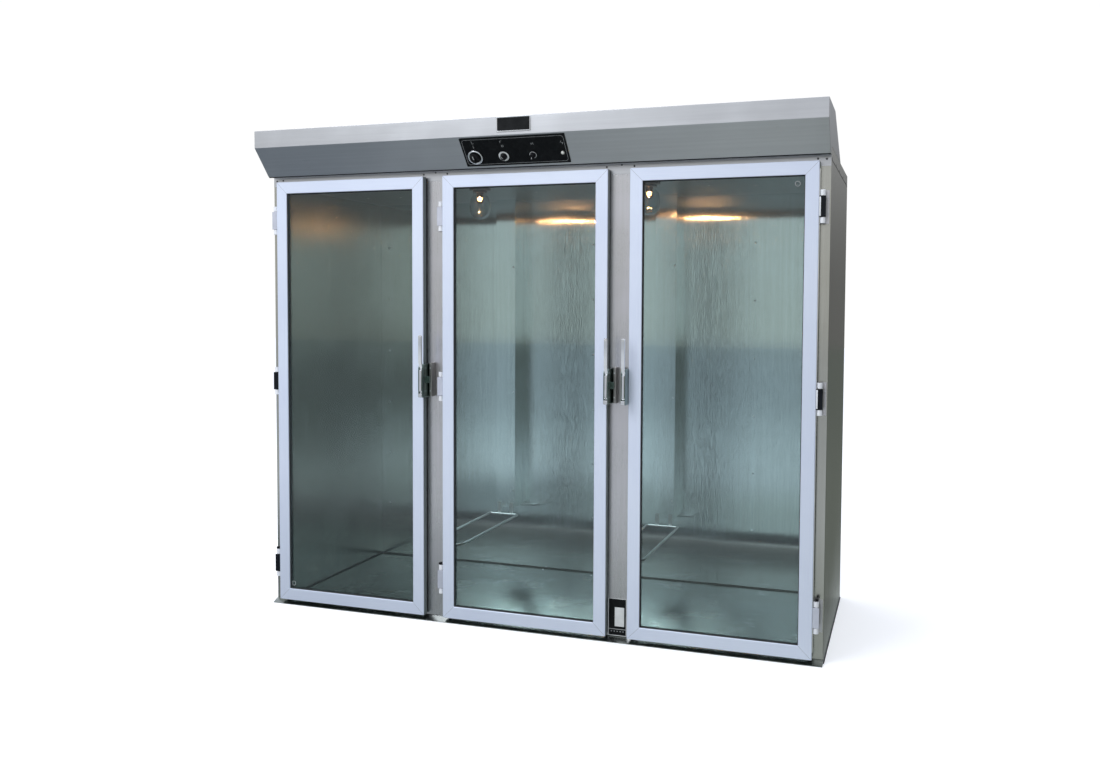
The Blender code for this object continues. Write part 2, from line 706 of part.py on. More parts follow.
def build_badge():
    middle = (FASCIA_BOTTOM + FASCIA_TOP) / 2 + BADGE_DROP
    front = FACE_Y - FASCIA_REACH - GAP - BADGE_THICKNESS
    back = front + BADGE_THICKNESS
    half_height = BADGE_HEIGHT / 2
    badge = box("name_badge", (-BADGE_WIDTH / 2, BADGE_WIDTH / 2), (front, back),
                (middle - half_height, middle + half_height), PLATE_BLACK)
    half = BADGE_WIDTH / 2 - BADGE_BORDER
    cut(badge, box("cutter", (-half, half), (front - BADGE_SINK, front + BADGE_SINK),
                   (middle - half_height + BADGE_BORDER, middle + half_height - BADGE_BORDER)))


def build_rating_plate():
    left = MULLION_PLACE - DOOR_SPACING / 2 + RATING_INSET
    back = FACE_Y - GAP
    bottom = WALL_BOTTOM + RATING_LIFT
    box("rating_plate", (left, left + RATING_WIDTH), (back - RATING_THICKNESS, back),
        (bottom, bottom + RATING_HEIGHT), PLATE_BLACK)


def build_door_frame(label, column, side):
    front = DOOR_FRONT_Y
    rear = front + DOOR_THICKNESS
    c = FRAME_CHAMFER
    slot_front = front + GLASS_SETBACK - GAP
    slot_rear = front + GLASS_SETBACK + GLASS_THICKNESS + GAP
    section = [(c, front), (FRAME_FACE - c, front), (FRAME_FACE, front + c), (FRAME_FACE, slot_front),
               (FRAME_FACE - GROOVE_DEPTH, slot_front), (FRAME_FACE - GROOVE_DEPTH, slot_rear),
               (FRAME_FACE, slot_rear), (FRAME_FACE, rear - c), (FRAME_FACE - c, rear), (c, rear),
               (0, rear - c), (0, front + c)]
    frame = frame_ring(label + "_door_frame", door_span(column), (DOOR_BOTTOM, DOOR_TOP), section,
                       ANODISED)
    return set_origin(frame, hinge_axis(column, side), HINGE_AXIS_Y, DOOR_BOTTOM)


def build_door_glass(label, column):
    inset = FRAME_FACE - GROOVE_DEPTH + GAP
    left, right = door_span(column)
    front = DOOR_FRONT_Y + GLASS_SETBACK
    return box(label + "_door_glass", (left + inset, right - inset),
               (front, front + GLASS_THICKNESS), (DOOR_BOTTOM + inset, DOOR_TOP - inset), GLASS)


def build_door_gasket(label, column):
    base = DOOR_FRONT_Y + DOOR_THICKNESS + GAP
    lip = FACE_Y - GAP
    middle = GASKET_INSET + GASKET_BASE / 2
    foot = base + GASKET_FOOT
    section = [(GASKET_INSET, base), (GASKET_INSET + GASKET_BASE, base), (GASKET_INSET + GASKET_BASE, foot),
               (middle + GASKET_LIP / 2, lip), (middle - GASKET_LIP / 2, lip), (GASKET_INSET, foot)]
    return frame_ring(label + "_door_gasket", door_span(column), (DOOR_BOTTOM, DOOR_TOP), section,
                      RUBBER)


def hinge_levels():
    levels = []
    for share in HINGE_HEIGHT_SHARES:
        bottom = DOOR_BOTTOM + share * DOOR_HEIGHT - HINGE_HEIGHT / 2
        levels.append(bottom)
    return levels


def build_hinge_strip(label, column, side):
    axis = hinge_axis(column, side)
    edge = axis - side * HINGE_AXIS_OUT
    near = edge + side * GAP
    depths = (DOOR_FRONT_Y + HINGE_STRIP_INSET, DOOR_FRONT_Y + DOOR_THICKNESS - HINGE_STRIP_INSET)
    ends = (DOOR_BOTTOM + HINGE_STRIP_MARGIN, DOOR_TOP - HINGE_STRIP_MARGIN)
    strip = box(label + "_door_hinge_strip", span(near, near + side * HINGE_STRIP_SHEET), depths,
                ends, CHROME)
    for bottom in hinge_levels():
        low = bottom + HINGE_KNUCKLE + TURN_GAP
        high = bottom + HINGE_HEIGHT - HINGE_KNUCKLE - TURN_GAP
        bore = HINGE_PIN_RADIUS + GAP
        profile = [(bore, low), (HINGE_BARREL_RADIUS, low), (HINGE_BARREL_RADIUS, high),
                   (bore, high)]
        barrel = shift(turn("barrel", profile, SMALL_STEPS), axis, HINGE_AXIS_Y, 0)
        leaf_y = (HINGE_AXIS_Y - HINGE_LEAF_THICKNESS / 2, HINGE_AXIS_Y + HINGE_LEAF_THICKNESS / 2)
        leaf_x = span(near + side * GAP, axis - side * HINGE_LEAF_REACH)
        fuse(barrel, box("leaf", leaf_x, leaf_y, (low + GAP, high - GAP)))
        fuse(strip, barrel)
    return smooth(strip)


def build_hinge_brackets(label, column, side):
    axis = hinge_axis(column, side)
    inner = axis + side * (HINGE_BARREL_RADIUS + TURN_GAP)
    flange_end = inner + side * HINGE_FLANGE_WIDTH / 2
    back = FACE_Y - GAP
    for bottom, place_name in zip(hinge_levels(), ("lower", "middle", "upper")):
        top = bottom + HINGE_HEIGHT
        bracket = box(label + "_door_" + place_name + "_hinge",
                      span(axis - side * HINGE_BARREL_RADIUS, flange_end),
                      (back - HINGE_FLANGE_SHEET, back), (bottom, top), CHROME)
        for low, high in ((bottom, bottom + HINGE_KNUCKLE), (top - HINGE_KNUCKLE, top)):
            arm_x = span(axis - side * HINGE_ARM_HALF, axis + side * HINGE_ARM_HALF)
            arm_y = (HINGE_AXIS_Y + HINGE_PIN_RADIUS / 2, back - GAP)
            arm = box("arm", arm_x, arm_y, (low + GAP, high - GAP))
            fuse(arm, rod("knuckle", "Z", (axis, HINGE_AXIS_Y), (low, high), HINGE_BARREL_RADIUS,
                          SMALL_STEPS))
            fuse(bracket, arm)
        ends = (bottom + HINGE_KNUCKLE / 2, top - HINGE_KNUCKLE / 2)
        fuse(bracket, rod("pin", "Z", (axis, HINGE_AXIS_Y), ends, HINGE_PIN_RADIUS, SMALL_STEPS))
        smooth(bracket)


def latch_pivot():
    return (DOOR_FRONT_Y - LATCH_FRONT + LATCH_PIVOT_BACK, LATCH_BOTTOM + LATCH_PIVOT_LIFT)


def latch_edges(column, side):
    free = door_span(column)[1] if side < 0 else door_span(column)[0]
    start = free - side * GAP
    return start, start - side * LATCH_WIDTH


def build_latch_body(label, column, side):
    start, end = latch_edges(column, side)
    front = DOOR_FRONT_Y - LATCH_FRONT
    rear = DOOR_FRONT_Y + DOOR_THICKNESS - LATCH_BACK
    top = LATCH_BOTTOM + LATCH_HEIGHT
    outline = [(front + LATCH_SLOPE / 2, LATCH_BOTTOM), (front, LATCH_BOTTOM + LATCH_SLOPE / 2),
               (front, top - LATCH_SLOPE), (front + LATCH_SLOPE, top), (rear, top),
               (rear, LATCH_BOTTOM)]
    body = extrude(label + "_latch_body", outline, "X", span(start, end), CHROME)
    middle = (start + end) / 2
    half = LEVER_WIDTH / 2 + TURN_GAP
    slot_y = (front - LATCH_FRONT, front + LATCH_SLOT_FLOOR)
    slot_z = (LATCH_BOTTOM + LATCH_SLOT_LIFT, top + LATCH_SLOPE)
    cut(body, box("cutter", (middle - half, middle + half), slot_y, slot_z))
    y, z = latch_pivot()
    pin_ends = (middle - half - GAP, middle + half + GAP)
    fuse(body, rod("pin", "X", (y, z), pin_ends, LATCH_PIN_RADIUS, SMALL_STEPS))
    pad_rear = FACE_Y - STRIKE_DEPTH - GAP
    pad_z = STRIKE_BOTTOM + STRIKE_HEIGHT / 2
    inner = end + side * GAP
    fuse(body, box("pad", span(inner, end - side * LATCH_PAD_REACH),
                   (pad_rear - LATCH_PAD_DEPTH, pad_rear),
                   (pad_z - LATCH_PAD_HEIGHT / 2, pad_z + LATCH_PAD_HEIGHT / 2)))
    return smooth(body)


def build_latch_lever(label, column, side):
    start, end = latch_edges(column, side)
    middle = (start + end) / 2
    y, z = latch_pivot()
    half = LEVER_THICKNESS / 2
    jog = LEVER_JOG_REACH
    eye = []
    steps = SMALL_STEPS // 2
    for k in range(steps + 1):
        angle = math.pi * (1 + k / steps)
        eye.append((y + LEVER_EYE_RADIUS * math.cos(angle), z + LEVER_EYE_RADIUS * math.sin(angle)))
    outline = eye + [(y + half, z + LEVER_EYE_RADIUS), (y + half, LEVER_JOG_BOTTOM),
                     (y + half - jog, LEVER_JOG_TOP), (y + half - jog, LEVER_TOP - half),
                     (y - jog, LEVER_TOP), (y - half - jog, LEVER_TOP - half),
                     (y - half - jog, LEVER_JOG_TOP), (y - half, LEVER_JOG_BOTTOM),
                     (y - half, z + LEVER_EYE_RADIUS)]
    ends = (middle - LEVER_WIDTH / 2, middle + LEVER_WIDTH / 2)
    lever = extrude(label + "_latch_lever", outline, "X", ends, CHROME)
    bore_ends = (ends[0] - LEVER_WIDTH, ends[1] + LEVER_WIDTH)
    cut(lever, rod("cutter", "X", (y, z), bore_ends, LATCH_PIN_RADIUS + GAP, SMALL_STEPS))
    set_origin(lever, middle, y, z)
    return smooth(lever)


def build_strike(label, column, side):
    start = latch_edges(column, side)[1] - side * SWING_GAP
    end = start - side * STRIKE_WIDTH
    back = FACE_Y - GAP
    front = FACE_Y - STRIKE_DEPTH
    outline = [(start, back), (start, front + STRIKE_NOSE), (start - side * STRIKE_NOSE, front),
               (end, front), (end, back)]
    top = STRIKE_BOTTOM + STRIKE_HEIGHT
    strike = extrude(label + "_latch_strike", outline, "Z", (STRIKE_BOTTOM, top), CHROME)
    hollow = span(start - side * STRIKE_WALL, end + side * STRIKE_WALL)
    cut(strike, box("cutter", hollow, (front + STRIKE_NOSE, back + STRIKE_NOSE),
                    (STRIKE_BOTTOM + STRIKE_WALL, top - STRIKE_WALL)))


def build_doors():
    for label, column, side in DOORS:
        frame = build_door_frame(label, column, side)
        carry(frame, build_door_glass(label, column))
        carry(frame, build_door_gasket(label, column))
        carry(frame, build_hinge_strip(label, column, side))
        carry(frame, build_latch_body(label, column, side))
        carry(frame, build_latch_lever(label, column, side))
        build_hinge_brackets(label, column, side)
        build_strike(label, column, side)


def build_lamps():
    top = HEADER_BOTTOM - GAP
    y = FACE_Y + LAMP_DEPTH
    for label, x in (("left", LEFT_LAMP_PLACE), ("right", RIGHT_LAMP_PLACE)):
        neck = top - LAMP_PLATE
        socket = neck - LAMP_NECK_HEIGHT
        profile = [(0, top), (LAMP_RADIUS, top), (LAMP_RADIUS, neck), (LAMP_NECK_RADIUS, neck),
                   (LAMP_NECK_RADIUS, socket + GLOBE_COLLAR),
                   (LAMP_SOCKET_RADIUS, socket + GLOBE_COLLAR),
                   (LAMP_SOCKET_RADIUS, neck - LAMP_SOCKET_HEIGHT),
                   (0, neck - LAMP_SOCKET_HEIGHT)]
        base = turn(label + "_lamp_base", profile, ROUND_STEPS, WHITE_CERAMIC)
        smooth(shift(base, x, y, 0))
        globe_top = socket + GLOBE_COLLAR - GAP
        outer = [(GLOBE_RADIUS * a, globe_top - GLOBE_HEIGHT * b) for a, b in GLOBE_SIDE_SHARES]
        inner_height = GLOBE_HEIGHT - GLOBE_WALL
        inner = [(GLOBE_RADIUS * a - GLOBE_WALL, globe_top - inner_height * b)
                 for a, b in GLOBE_SIDE_SHARES]
        profile = [(0, outer[-1][1])] + outer[::-1] + inner + [(0, inner[-1][1])]
        globe = turn(label + "_lamp_globe", profile, ROUND_STEPS, CLEAR_GLASS)
        smooth(shift(globe, x, y, 0))


def blower_centre():
    return FACE_Y + BLOWER_DEPTH, ROOF_TOP + GAP + BLOWER_LIFT


def scroll_outline(start_radius, end_radius, floor):
    y, z = blower_centre()
    points = []
    for k in range(SCROLL_STEPS + 1):
        share = k / SCROLL_STEPS
        angle = math.pi * share
        radius = start_radius + (end_radius - start_radius) * share
        points.append((y + radius * math.cos(angle), z + radius * math.sin(angle)))
    return points + [(y - end_radius, floor), (y + start_radius, floor)]


def build_blower_housing():
    floor = ROOF_TOP + GAP
    half = BLOWER_WIDTH / 2
    ends = (SUPPLY_CENTRE - half, SUPPLY_CENTRE + half)
    outer = scroll_outline(SCROLL_START_RADIUS, SCROLL_END_RADIUS, floor)
    housing = extrude("blower_housing", outer, "X", ends, GALVANISED)
    sheet = SCROLL_SHEET
    inner = scroll_outline(SCROLL_START_RADIUS - sheet, SCROLL_END_RADIUS - sheet,
                           floor - BLOWER_LIFT)
    cut(housing, extrude("cutter", inner, "X", (ends[0] + sheet, ends[1] - sheet)))
    y, z = blower_centre()
    inlet = (ends[0] - half, SUPPLY_CENTRE)
    cut(housing, rod("cutter", "X", (y, z), inlet, SCROLL_INLET_RADIUS, ROUND_STEPS))
    shaft = (SUPPLY_CENTRE, ends[1] + half)
    cut(housing, rod("cutter", "X", (y, z), shaft, SHAFT_RADIUS * 2, SMALL_STEPS))
    smooth(housing)


def build_blower_wheel():
    y, z = blower_centre()
    outline = []
    half_arc = math.radians(WHEEL_BLADE_ARC) / 2
    for k in range(WHEEL_BLADES):
        middle = math.tau * k / WHEEL_BLADES
        tip = half_arc * WHEEL_HUB_RADIUS / WHEEL_RADIUS
        blade = ((WHEEL_HUB_RADIUS, middle - half_arc), (WHEEL_RADIUS, middle - tip),
                 (WHEEL_RADIUS, middle + tip), (WHEEL_HUB_RADIUS, middle + half_arc))
        outline += [(y + radius * math.cos(angle), z + radius * math.sin(angle))
                    for radius, angle in blade]
    ends = (SUPPLY_CENTRE - WHEEL_WIDTH / 2, SUPPLY_CENTRE + WHEEL_WIDTH / 2)
    wheel = extrude("blower_wheel", outline, "X", ends, GALVANISED)
    plate = (ends[1] - WHEEL_BACKPLATE, ends[1])
    fuse(wheel, rod("plate", "X", (y, z), plate, WHEEL_RADIUS + GAP, ROUND_STEPS))
    bore = (ends[0] - WHEEL_WIDTH, ends[1] + WHEEL_WIDTH)
    cut(wheel, rod("cutter", "X", (y, z), bore, SHAFT_RADIUS + GAP, SMALL_STEPS))
    set_origin(wheel, SUPPLY_CENTRE, y, z)
    smooth(wheel)


def build_blower_motor():
    y, z = blower_centre()
    near = SUPPLY_CENTRE + BLOWER_WIDTH / 2 + MOTOR_STANDOFF
    far = near + MOTOR_LENGTH
    motor = rod("blower_motor", "X", (y, z), (near, far), MOTOR_RADIUS, ROUND_STEPS, MOTOR_GREY)
    shaft = (SUPPLY_CENTRE - WHEEL_WIDTH / 2, near + MOTOR_STANDOFF)
    fuse(motor, rod("shaft", "X", (y, z), shaft, SHAFT_RADIUS, SMALL_STEPS))
    floor = ROOF_TOP + GAP
    middle = (near + far) / 2
    leg_y = (y - MOTOR_LEG_WIDTH / 2, y + MOTOR_LEG_WIDTH / 2)
    leg_x = (middle - MOTOR_LEG_SHEET / 2, middle + MOTOR_LEG_SHEET / 2)
    fuse(motor, box("leg", leg_x, leg_y, (floor, z)))
    foot_y = (y - MOTOR_FOOT_DEPTH / 2, y + MOTOR_FOOT_DEPTH / 2)
    foot_x = (middle - MOTOR_FOOT_WIDTH / 2, middle + MOTOR_FOOT_WIDTH / 2)
    fuse(motor, box("foot", foot_x, foot_y, (floor, floor + MOTOR_FOOT_SHEET)))
    smooth(motor)


def build_heater():
    left = RETURN_CENTRE - HEATER_LENGTH / 2
    right = RETURN_CENTRE + HEATER_LENGTH / 2
    z = ROOF_TOP + HEATER_LIFT
    points = []
    for k in range(HEATER_PASSES):
        y = FACE_Y + HEATER_START_DEPTH + k * HEATER_PITCH
        ends = [(left, y, z), (right, y, z)]
        points += ends if k % 2 == 0 else ends[::-1]
    floor = ROOF_TOP + GAP
    points = [(left, points[0][1], floor)] + points + [(points[-1][0], points[-1][1], floor)]
    path = rounded_path(points, HEATER_BEND_RADIUS, BEND_STEPS)
    smooth(sweep("heater_element", path, HEATER_TUBE_RADIUS, SMALL_STEPS // 2, HEATER_METAL))


def build_pan():
    xs = (PAN_CENTRE - PAN_WIDTH / 2, PAN_CENTRE + PAN_WIDTH / 2)
    ys = (FACE_Y + PAN_FRONT, FACE_Y + PAN_FRONT + PAN_DEPTH)
    bottom = ROOF_TOP + GAP
    pan = box("humidity_water_pan", xs, ys, (bottom, bottom + PAN_HEIGHT), STAINLESS)
    sheet = PAN_SHEET
    cut(pan, box("cutter", (xs[0] + sheet, xs[1] - sheet), (ys[0] + sheet, ys[1] - sheet),
                 (bottom + sheet, bottom + 2 * PAN_HEIGHT)))


clear_scene()
build_floor()
build_side_walls()
build_rear_wall()
build_header()
build_mullions()
build_roof()
build_ceiling()
build_ducts()
build_guides()
build_canopy()
build_controls()
build_badge()
build_rating_plate()
build_doors()
build_lamps()
build_blower_housing()
build_blower_wheel()
build_blower_motor()
build_heater()
build_pan()
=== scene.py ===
# %% [markdown]
# A proofing cabinet keeps racks of dough warm and moist behind three glass doors. This lesson dresses
# the bare solids of one: sheet steel that is brushed and slightly wavy, bright door frames, tinted
# glass, two glowing lamps, and the screws, seams and marks that a maker would expect to see.
# The solids come from the imported model and stay where they are.

# %% Load the imported cabinet
import json
import math

import bmesh
import bpy
import numpy as np
from mathutils import Matrix, Vector

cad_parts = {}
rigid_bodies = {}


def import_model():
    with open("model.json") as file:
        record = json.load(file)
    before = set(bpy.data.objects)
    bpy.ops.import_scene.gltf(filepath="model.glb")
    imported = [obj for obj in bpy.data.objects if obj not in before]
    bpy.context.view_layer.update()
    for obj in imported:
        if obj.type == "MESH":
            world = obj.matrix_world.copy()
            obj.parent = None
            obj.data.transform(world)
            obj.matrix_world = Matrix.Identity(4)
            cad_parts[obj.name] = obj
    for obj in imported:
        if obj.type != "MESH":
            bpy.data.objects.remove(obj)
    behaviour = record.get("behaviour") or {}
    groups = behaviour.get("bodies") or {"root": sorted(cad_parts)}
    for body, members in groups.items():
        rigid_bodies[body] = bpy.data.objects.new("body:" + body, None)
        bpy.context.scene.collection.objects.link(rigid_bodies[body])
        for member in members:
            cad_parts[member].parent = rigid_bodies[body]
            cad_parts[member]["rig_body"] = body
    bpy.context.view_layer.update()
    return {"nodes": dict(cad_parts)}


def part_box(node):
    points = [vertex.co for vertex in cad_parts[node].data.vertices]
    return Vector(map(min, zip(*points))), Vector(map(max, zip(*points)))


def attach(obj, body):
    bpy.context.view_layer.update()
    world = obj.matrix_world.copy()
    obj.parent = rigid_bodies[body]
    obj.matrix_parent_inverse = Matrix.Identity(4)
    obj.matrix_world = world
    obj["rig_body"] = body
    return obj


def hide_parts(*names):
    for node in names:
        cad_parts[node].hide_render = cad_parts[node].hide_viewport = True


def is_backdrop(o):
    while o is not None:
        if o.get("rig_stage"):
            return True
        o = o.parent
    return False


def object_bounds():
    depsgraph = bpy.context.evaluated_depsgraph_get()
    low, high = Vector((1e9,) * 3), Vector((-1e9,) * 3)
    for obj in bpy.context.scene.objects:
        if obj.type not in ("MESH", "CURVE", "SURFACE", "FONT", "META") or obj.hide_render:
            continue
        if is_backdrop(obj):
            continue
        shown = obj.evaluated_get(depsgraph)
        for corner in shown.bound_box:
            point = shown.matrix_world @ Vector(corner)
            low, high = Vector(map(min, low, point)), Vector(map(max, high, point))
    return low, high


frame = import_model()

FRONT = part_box("left_wall")[0].y
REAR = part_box("rear_wall")[0].y
HALF_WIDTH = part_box("right_wall")[1].x
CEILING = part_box("ceiling_panel")[0].z
FLOOR_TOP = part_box("floor_pan")[1].z
MULLION = (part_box("right_mullion")[0].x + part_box("right_mullion")[1].x) / 2
DOORS = {
    "left": ("left_door", -1),
    "middle": ("middle_door", -1),
    "right": ("right_door", 1),
}

# %% [markdown]
# The camera stands where the photographer stood: to the right of the middle, a little above the
# latches, and turned to the left. We could aim it by eye. Here the place and the angles were
# solved from the corners of the doors, so they are simply written down, and the camera's three
# directions are worked out from yaw, pitch and roll. The small shift moves the middle of the lens
# to where the photo has it.

# %% Put the camera where the photo was taken
EYE = (1.6054, -4.6094, 1.4507)
YAW, PITCH, ROLL = math.radians(19.07), math.radians(2.77), math.radians(0.26)
PHOTO_WIDTH, PHOTO_HEIGHT = 1100, 760
FOCAL_PIXELS = 1006.15
LENS_MIDDLE = (564.9, 351.9)
SENSOR = 36.0

ahead = Vector((-math.sin(YAW) * math.cos(PITCH), math.cos(YAW) * math.cos(PITCH), -math.sin(PITCH)))
level = ahead.cross(Vector((0, 0, 1))).normalized()
overhead = level.cross(ahead)
across = level * math.cos(ROLL) + overhead * math.sin(ROLL)
upward = overhead * math.cos(ROLL) - level * math.sin(ROLL)
lens = bpy.data.cameras.new("camera")
lens.sensor_width = SENSOR
lens.lens = FOCAL_PIXELS / PHOTO_WIDTH * SENSOR
lens.shift_x = (PHOTO_WIDTH / 2 - LENS_MIDDLE[0]) / PHOTO_WIDTH
lens.shift_y = (LENS_MIDDLE[1] - PHOTO_HEIGHT / 2) / PHOTO_WIDTH
lens.clip_end = 200
camera = bpy.data.objects.new("camera", lens)
bpy.context.scene.collection.objects.link(camera)
turned_to = Matrix((across, upward, -ahead)).transposed().to_4x4()
camera.matrix_world = Matrix.Translation(EYE) @ turned_to
bpy.context.scene.camera = camera
print("lens", round(lens.lens, 2), "mm, shift", round(lens.shift_x, 4), round(lens.shift_y, 4))

# %% [markdown]
# A material is a small drawing made of nodes. Wiring nodes by hand is slow to read, so one small
# class wraps a node's output: sums and products with it add Math nodes, and every other node comes
# from its one method `node`. A pattern then reads like a formula.

# %% A class that writes patterns as formulas
class Signal:
    """One output in a node tree. Arithmetic with it adds Math nodes."""

    def __init__(self, tree, output=None):
        self.tree = tree
        self.output = output

    def node(self, kind, settings=None, inputs=None, out=0):
        """Adds one node: its settings first, then the value or the link of each socket."""
        made = self.tree.nodes.new(kind)
        for key, value in (settings or {}).items():
            setattr(made, key, value)
        for key, value in (inputs or {}).items():
            if isinstance(value, Signal):
                self.tree.links.new(value.output, made.inputs[key])
            else:
                made.inputs[key].default_value = value
        return Signal(self.tree, made.outputs[out])

    def beside(self, name):
        """Another output of the same node."""
        return Signal(self.tree, self.output.node.outputs[name])

    def math(self, operation, *values):
        return self.node("ShaderNodeMath", {"operation": operation}, dict(enumerate(values)))

    def __add__(self, other):
        return self.math("ADD", self, other)

    def __sub__(self, other):
        return self.math("SUBTRACT", self, other)

    def __rsub__(self, other):
        return self.math("SUBTRACT", other, self)

    def __mul__(self, other):
        return self.math("MULTIPLY", self, other)

    def __truediv__(self, other):
        return self.math("DIVIDE", self, other)

    def __rtruediv__(self, other):
        return self.math("DIVIDE", other, self)

    def __abs__(self):
        return self.math("ABSOLUTE", self)

    def __gt__(self, other):
        return self.math("GREATER_THAN", self, other)

    __radd__ = __add__
    __rmul__ = __mul__

    def ease(self, low, high):
        """0 below low, 1 above high, and an S-shaped rise in between."""
        ends = {"Value": self, "From Min": low, "From Max": high}
        return self.node("ShaderNodeMapRange", {"interpolation_type": "SMOOTHSTEP"}, ends)

    def blend(self, first, second):
        """The first colour where this is 0 and the second where it is 1."""
        colours = {0: self, 6: first, 7: second}
        return self.node("ShaderNodeMix", {"data_type": "RGBA"}, colours, out=2)

    def noise(self, size, stretch=(1, 1, 1), detail=2.0):
        """Cloudy noise whose patches are about size metres, drawn out along the small stretch."""
        place = self.node("ShaderNodeTexCoord", out="Object")
        scaled = self.node("ShaderNodeMapping", {}, {"Vector": place, "Scale": stretch})
        wanted = {"Vector": scaled, "Scale": 1 / size, "Detail": detail}
        return self.node("ShaderNodeTexNoise", {}, wanted)

    def bump(self, height, depth, under=None):
        """A surface that rises by depth metres where height goes from 0 to 1."""
        inputs = {"Strength": 1.0, "Distance": depth, "Height": height}
        if under:
            inputs["Normal"] = under
        return self.node("ShaderNodeBump", {}, inputs)


def finish_of(name, constants, pattern=None):
    """A material: constants go on the shader's own sockets, and pattern draws what varies."""
    material = bpy.data.materials.new(name)
    material.use_nodes = True
    tree = material.node_tree
    shader = tree.nodes["Principled BSDF"]
    for key, value in constants.items():
        shader.inputs[key].default_value = value
    if pattern:
        for key, signal in pattern(Signal(tree)).items():
            tree.links.new(signal.output, shader.inputs[key])
    return material


print("Signal and finish_of are ready")

# %% [markdown]
# Steel shows its surroundings, so a good part of its look is the studio. A photographer flags the
# light: bright above and in front, dim to the side and behind, so that each plane of sheet gets its
# own grey. Dark cards round the object would do it, but they would stand in the way of other views.
# We give the air itself a brightness and a tint that depend on the direction, and add three large
# soft lamps. As on the page of a catalogue, the lens sees plain white behind the cabinet and a pale
# floor under it, while the steel mirrors the duller air and floor of a workshop.

# %% The air of the studio
scene = bpy.context.scene
scene.view_settings.view_transform = "Standard"
world = bpy.data.worlds.new("studio_air")
scene.world = world
world.use_nodes = True
air = Signal(world.node_tree)
toward = air.node("ShaderNodeTexCoord", out="Generated")
to_right = air.node("ShaderNodeSeparateXYZ", {}, {"Vector": toward}, out="X")
to_back, to_top = to_right.beside("Y"), to_right.beside("Z")
AIR_FRONT, AIR_SIDE, AIR_BACK, AIR_HIGH = 0.68, 0.30, 0.14, 0.97
level_air = AIR_SIDE + (AIR_FRONT - AIR_SIDE) * (0 - to_back).ease(0.1, 0.9)
level_air = level_air - (AIR_SIDE - AIR_BACK) * to_back.ease(0.2, 0.9)
glow = level_air + (AIR_HIGH - level_air) * to_top.ease(0.0, 0.5)
tint = to_top.ease(-0.1, 0.5).blend((1.0, 1.0, 0.96, 1), (0.90, 0.95, 1.07, 1))
page = air.node("ShaderNodeLightPath", out="Is Camera Ray")
backdrop = world.node_tree.nodes["Background"]
world.node_tree.links.new(page.blend(tint, (1.0, 1.0, 1.0, 1)).output, backdrop.inputs["Color"])
world.node_tree.links.new((glow * (1 - page) + 1.02 * page).output, backdrop.inputs["Strength"])
print("air from", AIR_BACK, "to", AIR_HIGH)


# %% Soft lamps and the floor
def soft_lamp(name, place, target, size, power, colour):
    """A square soft lamp at place that shines towards target."""
    light = bpy.data.lights.new(name, "AREA")
    light.size = size
    light.energy = power
    light.color = colour
    lamp = bpy.data.objects.new(name, light)
    lamp.location = place
    aim = Vector(target) - Vector(place)
    lamp.rotation_euler = aim.to_track_quat("-Z", "Y").to_euler()
    lamp.visible_camera = False
    scene.collection.objects.link(lamp)


soft_lamp("key_lamp", (-2.2, -4.4, 5.2), (0.0, -0.5, 1.2), 2.8, 135, (0.93, 0.96, 1.0))
soft_lamp("back_lamp", (-3.6, 4.6, 4.8), (0.0, 0.4, 1.2), 3.6, 60, (1.0, 0.99, 0.97))
soft_lamp("top_lamp", (-0.9, -0.8, 5.8), (-0.6, 0.0, 1.0), 4.4, 55, (0.97, 0.98, 1.0))


def pale_floor(start):
    cloud = start.noise(0.8, detail=4.0)
    fine = start.noise(0.02)
    return {
        "Base Color": cloud.blend((0.90, 0.90, 0.90, 1), (0.93, 0.93, 0.92, 1)),
        "Roughness": 0.55 + 0.12 * cloud,
        "Normal": start.bump(fine, 0.0002),
    }


FLOOR_REACH = 30.0
LEFT_FLOOR, RIGHT_FLOOR = (0.15, 0.17, 0.18, 1), (0.45, 0.47, 0.43, 1)
FAR_FLOOR, SIDE_FLOOR = (0.56, 0.57, 0.56, 1), (0.14, 0.15, 0.12, 1)
SIDE_START, SIDE_END = HALF_WIDTH, HALF_WIDTH + 0.12
PAGE_GLOW = 0.30
floor_mesh = bpy.data.meshes.new("studio_floor")
floor_corners = [(-1, -1, 0), (1, -1, 0), (1, 1, 0), (-1, 1, 0)]
floor_mesh.from_pydata((np.array(floor_corners) * FLOOR_REACH).tolist(), [], [(0, 1, 2, 3)])
studio_floor = bpy.data.objects.new("studio_floor", floor_mesh)
scene.collection.objects.link(studio_floor)
floor_finish = finish_of("pale_floor", {"Specular IOR Level": 0.2, "Emission Strength": PAGE_GLOW}, pale_floor)
floor_finish.node_tree.nodes["Principled BSDF"].inputs["Emission Color"].default_value = (1, 1, 1, 1)
sheet = Signal(floor_finish.node_tree, floor_finish.node_tree.nodes["Principled BSDF"].outputs[0])
spot = sheet.node("ShaderNodeTexCoord", out="Object")
floor_x = sheet.node("ShaderNodeSeparateXYZ", {}, {"Vector": spot}, out="X")
near_by = floor_x.ease(-2.6, 1.2).blend(LEFT_FLOOR, RIGHT_FLOOR)
before_it = (0 - floor_x.beside("Y")).ease(1.5, 3.0).blend(near_by, FAR_FLOOR)
workshop = floor_x.ease(SIDE_START, SIDE_END).blend(before_it, SIDE_FLOOR)
dull_floor = {"Base Color": workshop, "Roughness": 1.0, "Specular IOR Level": 0.0}
dull = sheet.node("ShaderNodeBsdfPrincipled", {}, dull_floor)
seen = sheet.node("ShaderNodeLightPath", out="Is Camera Ray")
either = sheet.node("ShaderNodeMixShader", {}, {0: seen, 1: dull, 2: sheet})
ends = floor_finish.node_tree.nodes["Material Output"]
floor_finish.node_tree.links.new(either.output, ends.inputs["Surface"])
floor_mesh.materials.append(floor_finish)
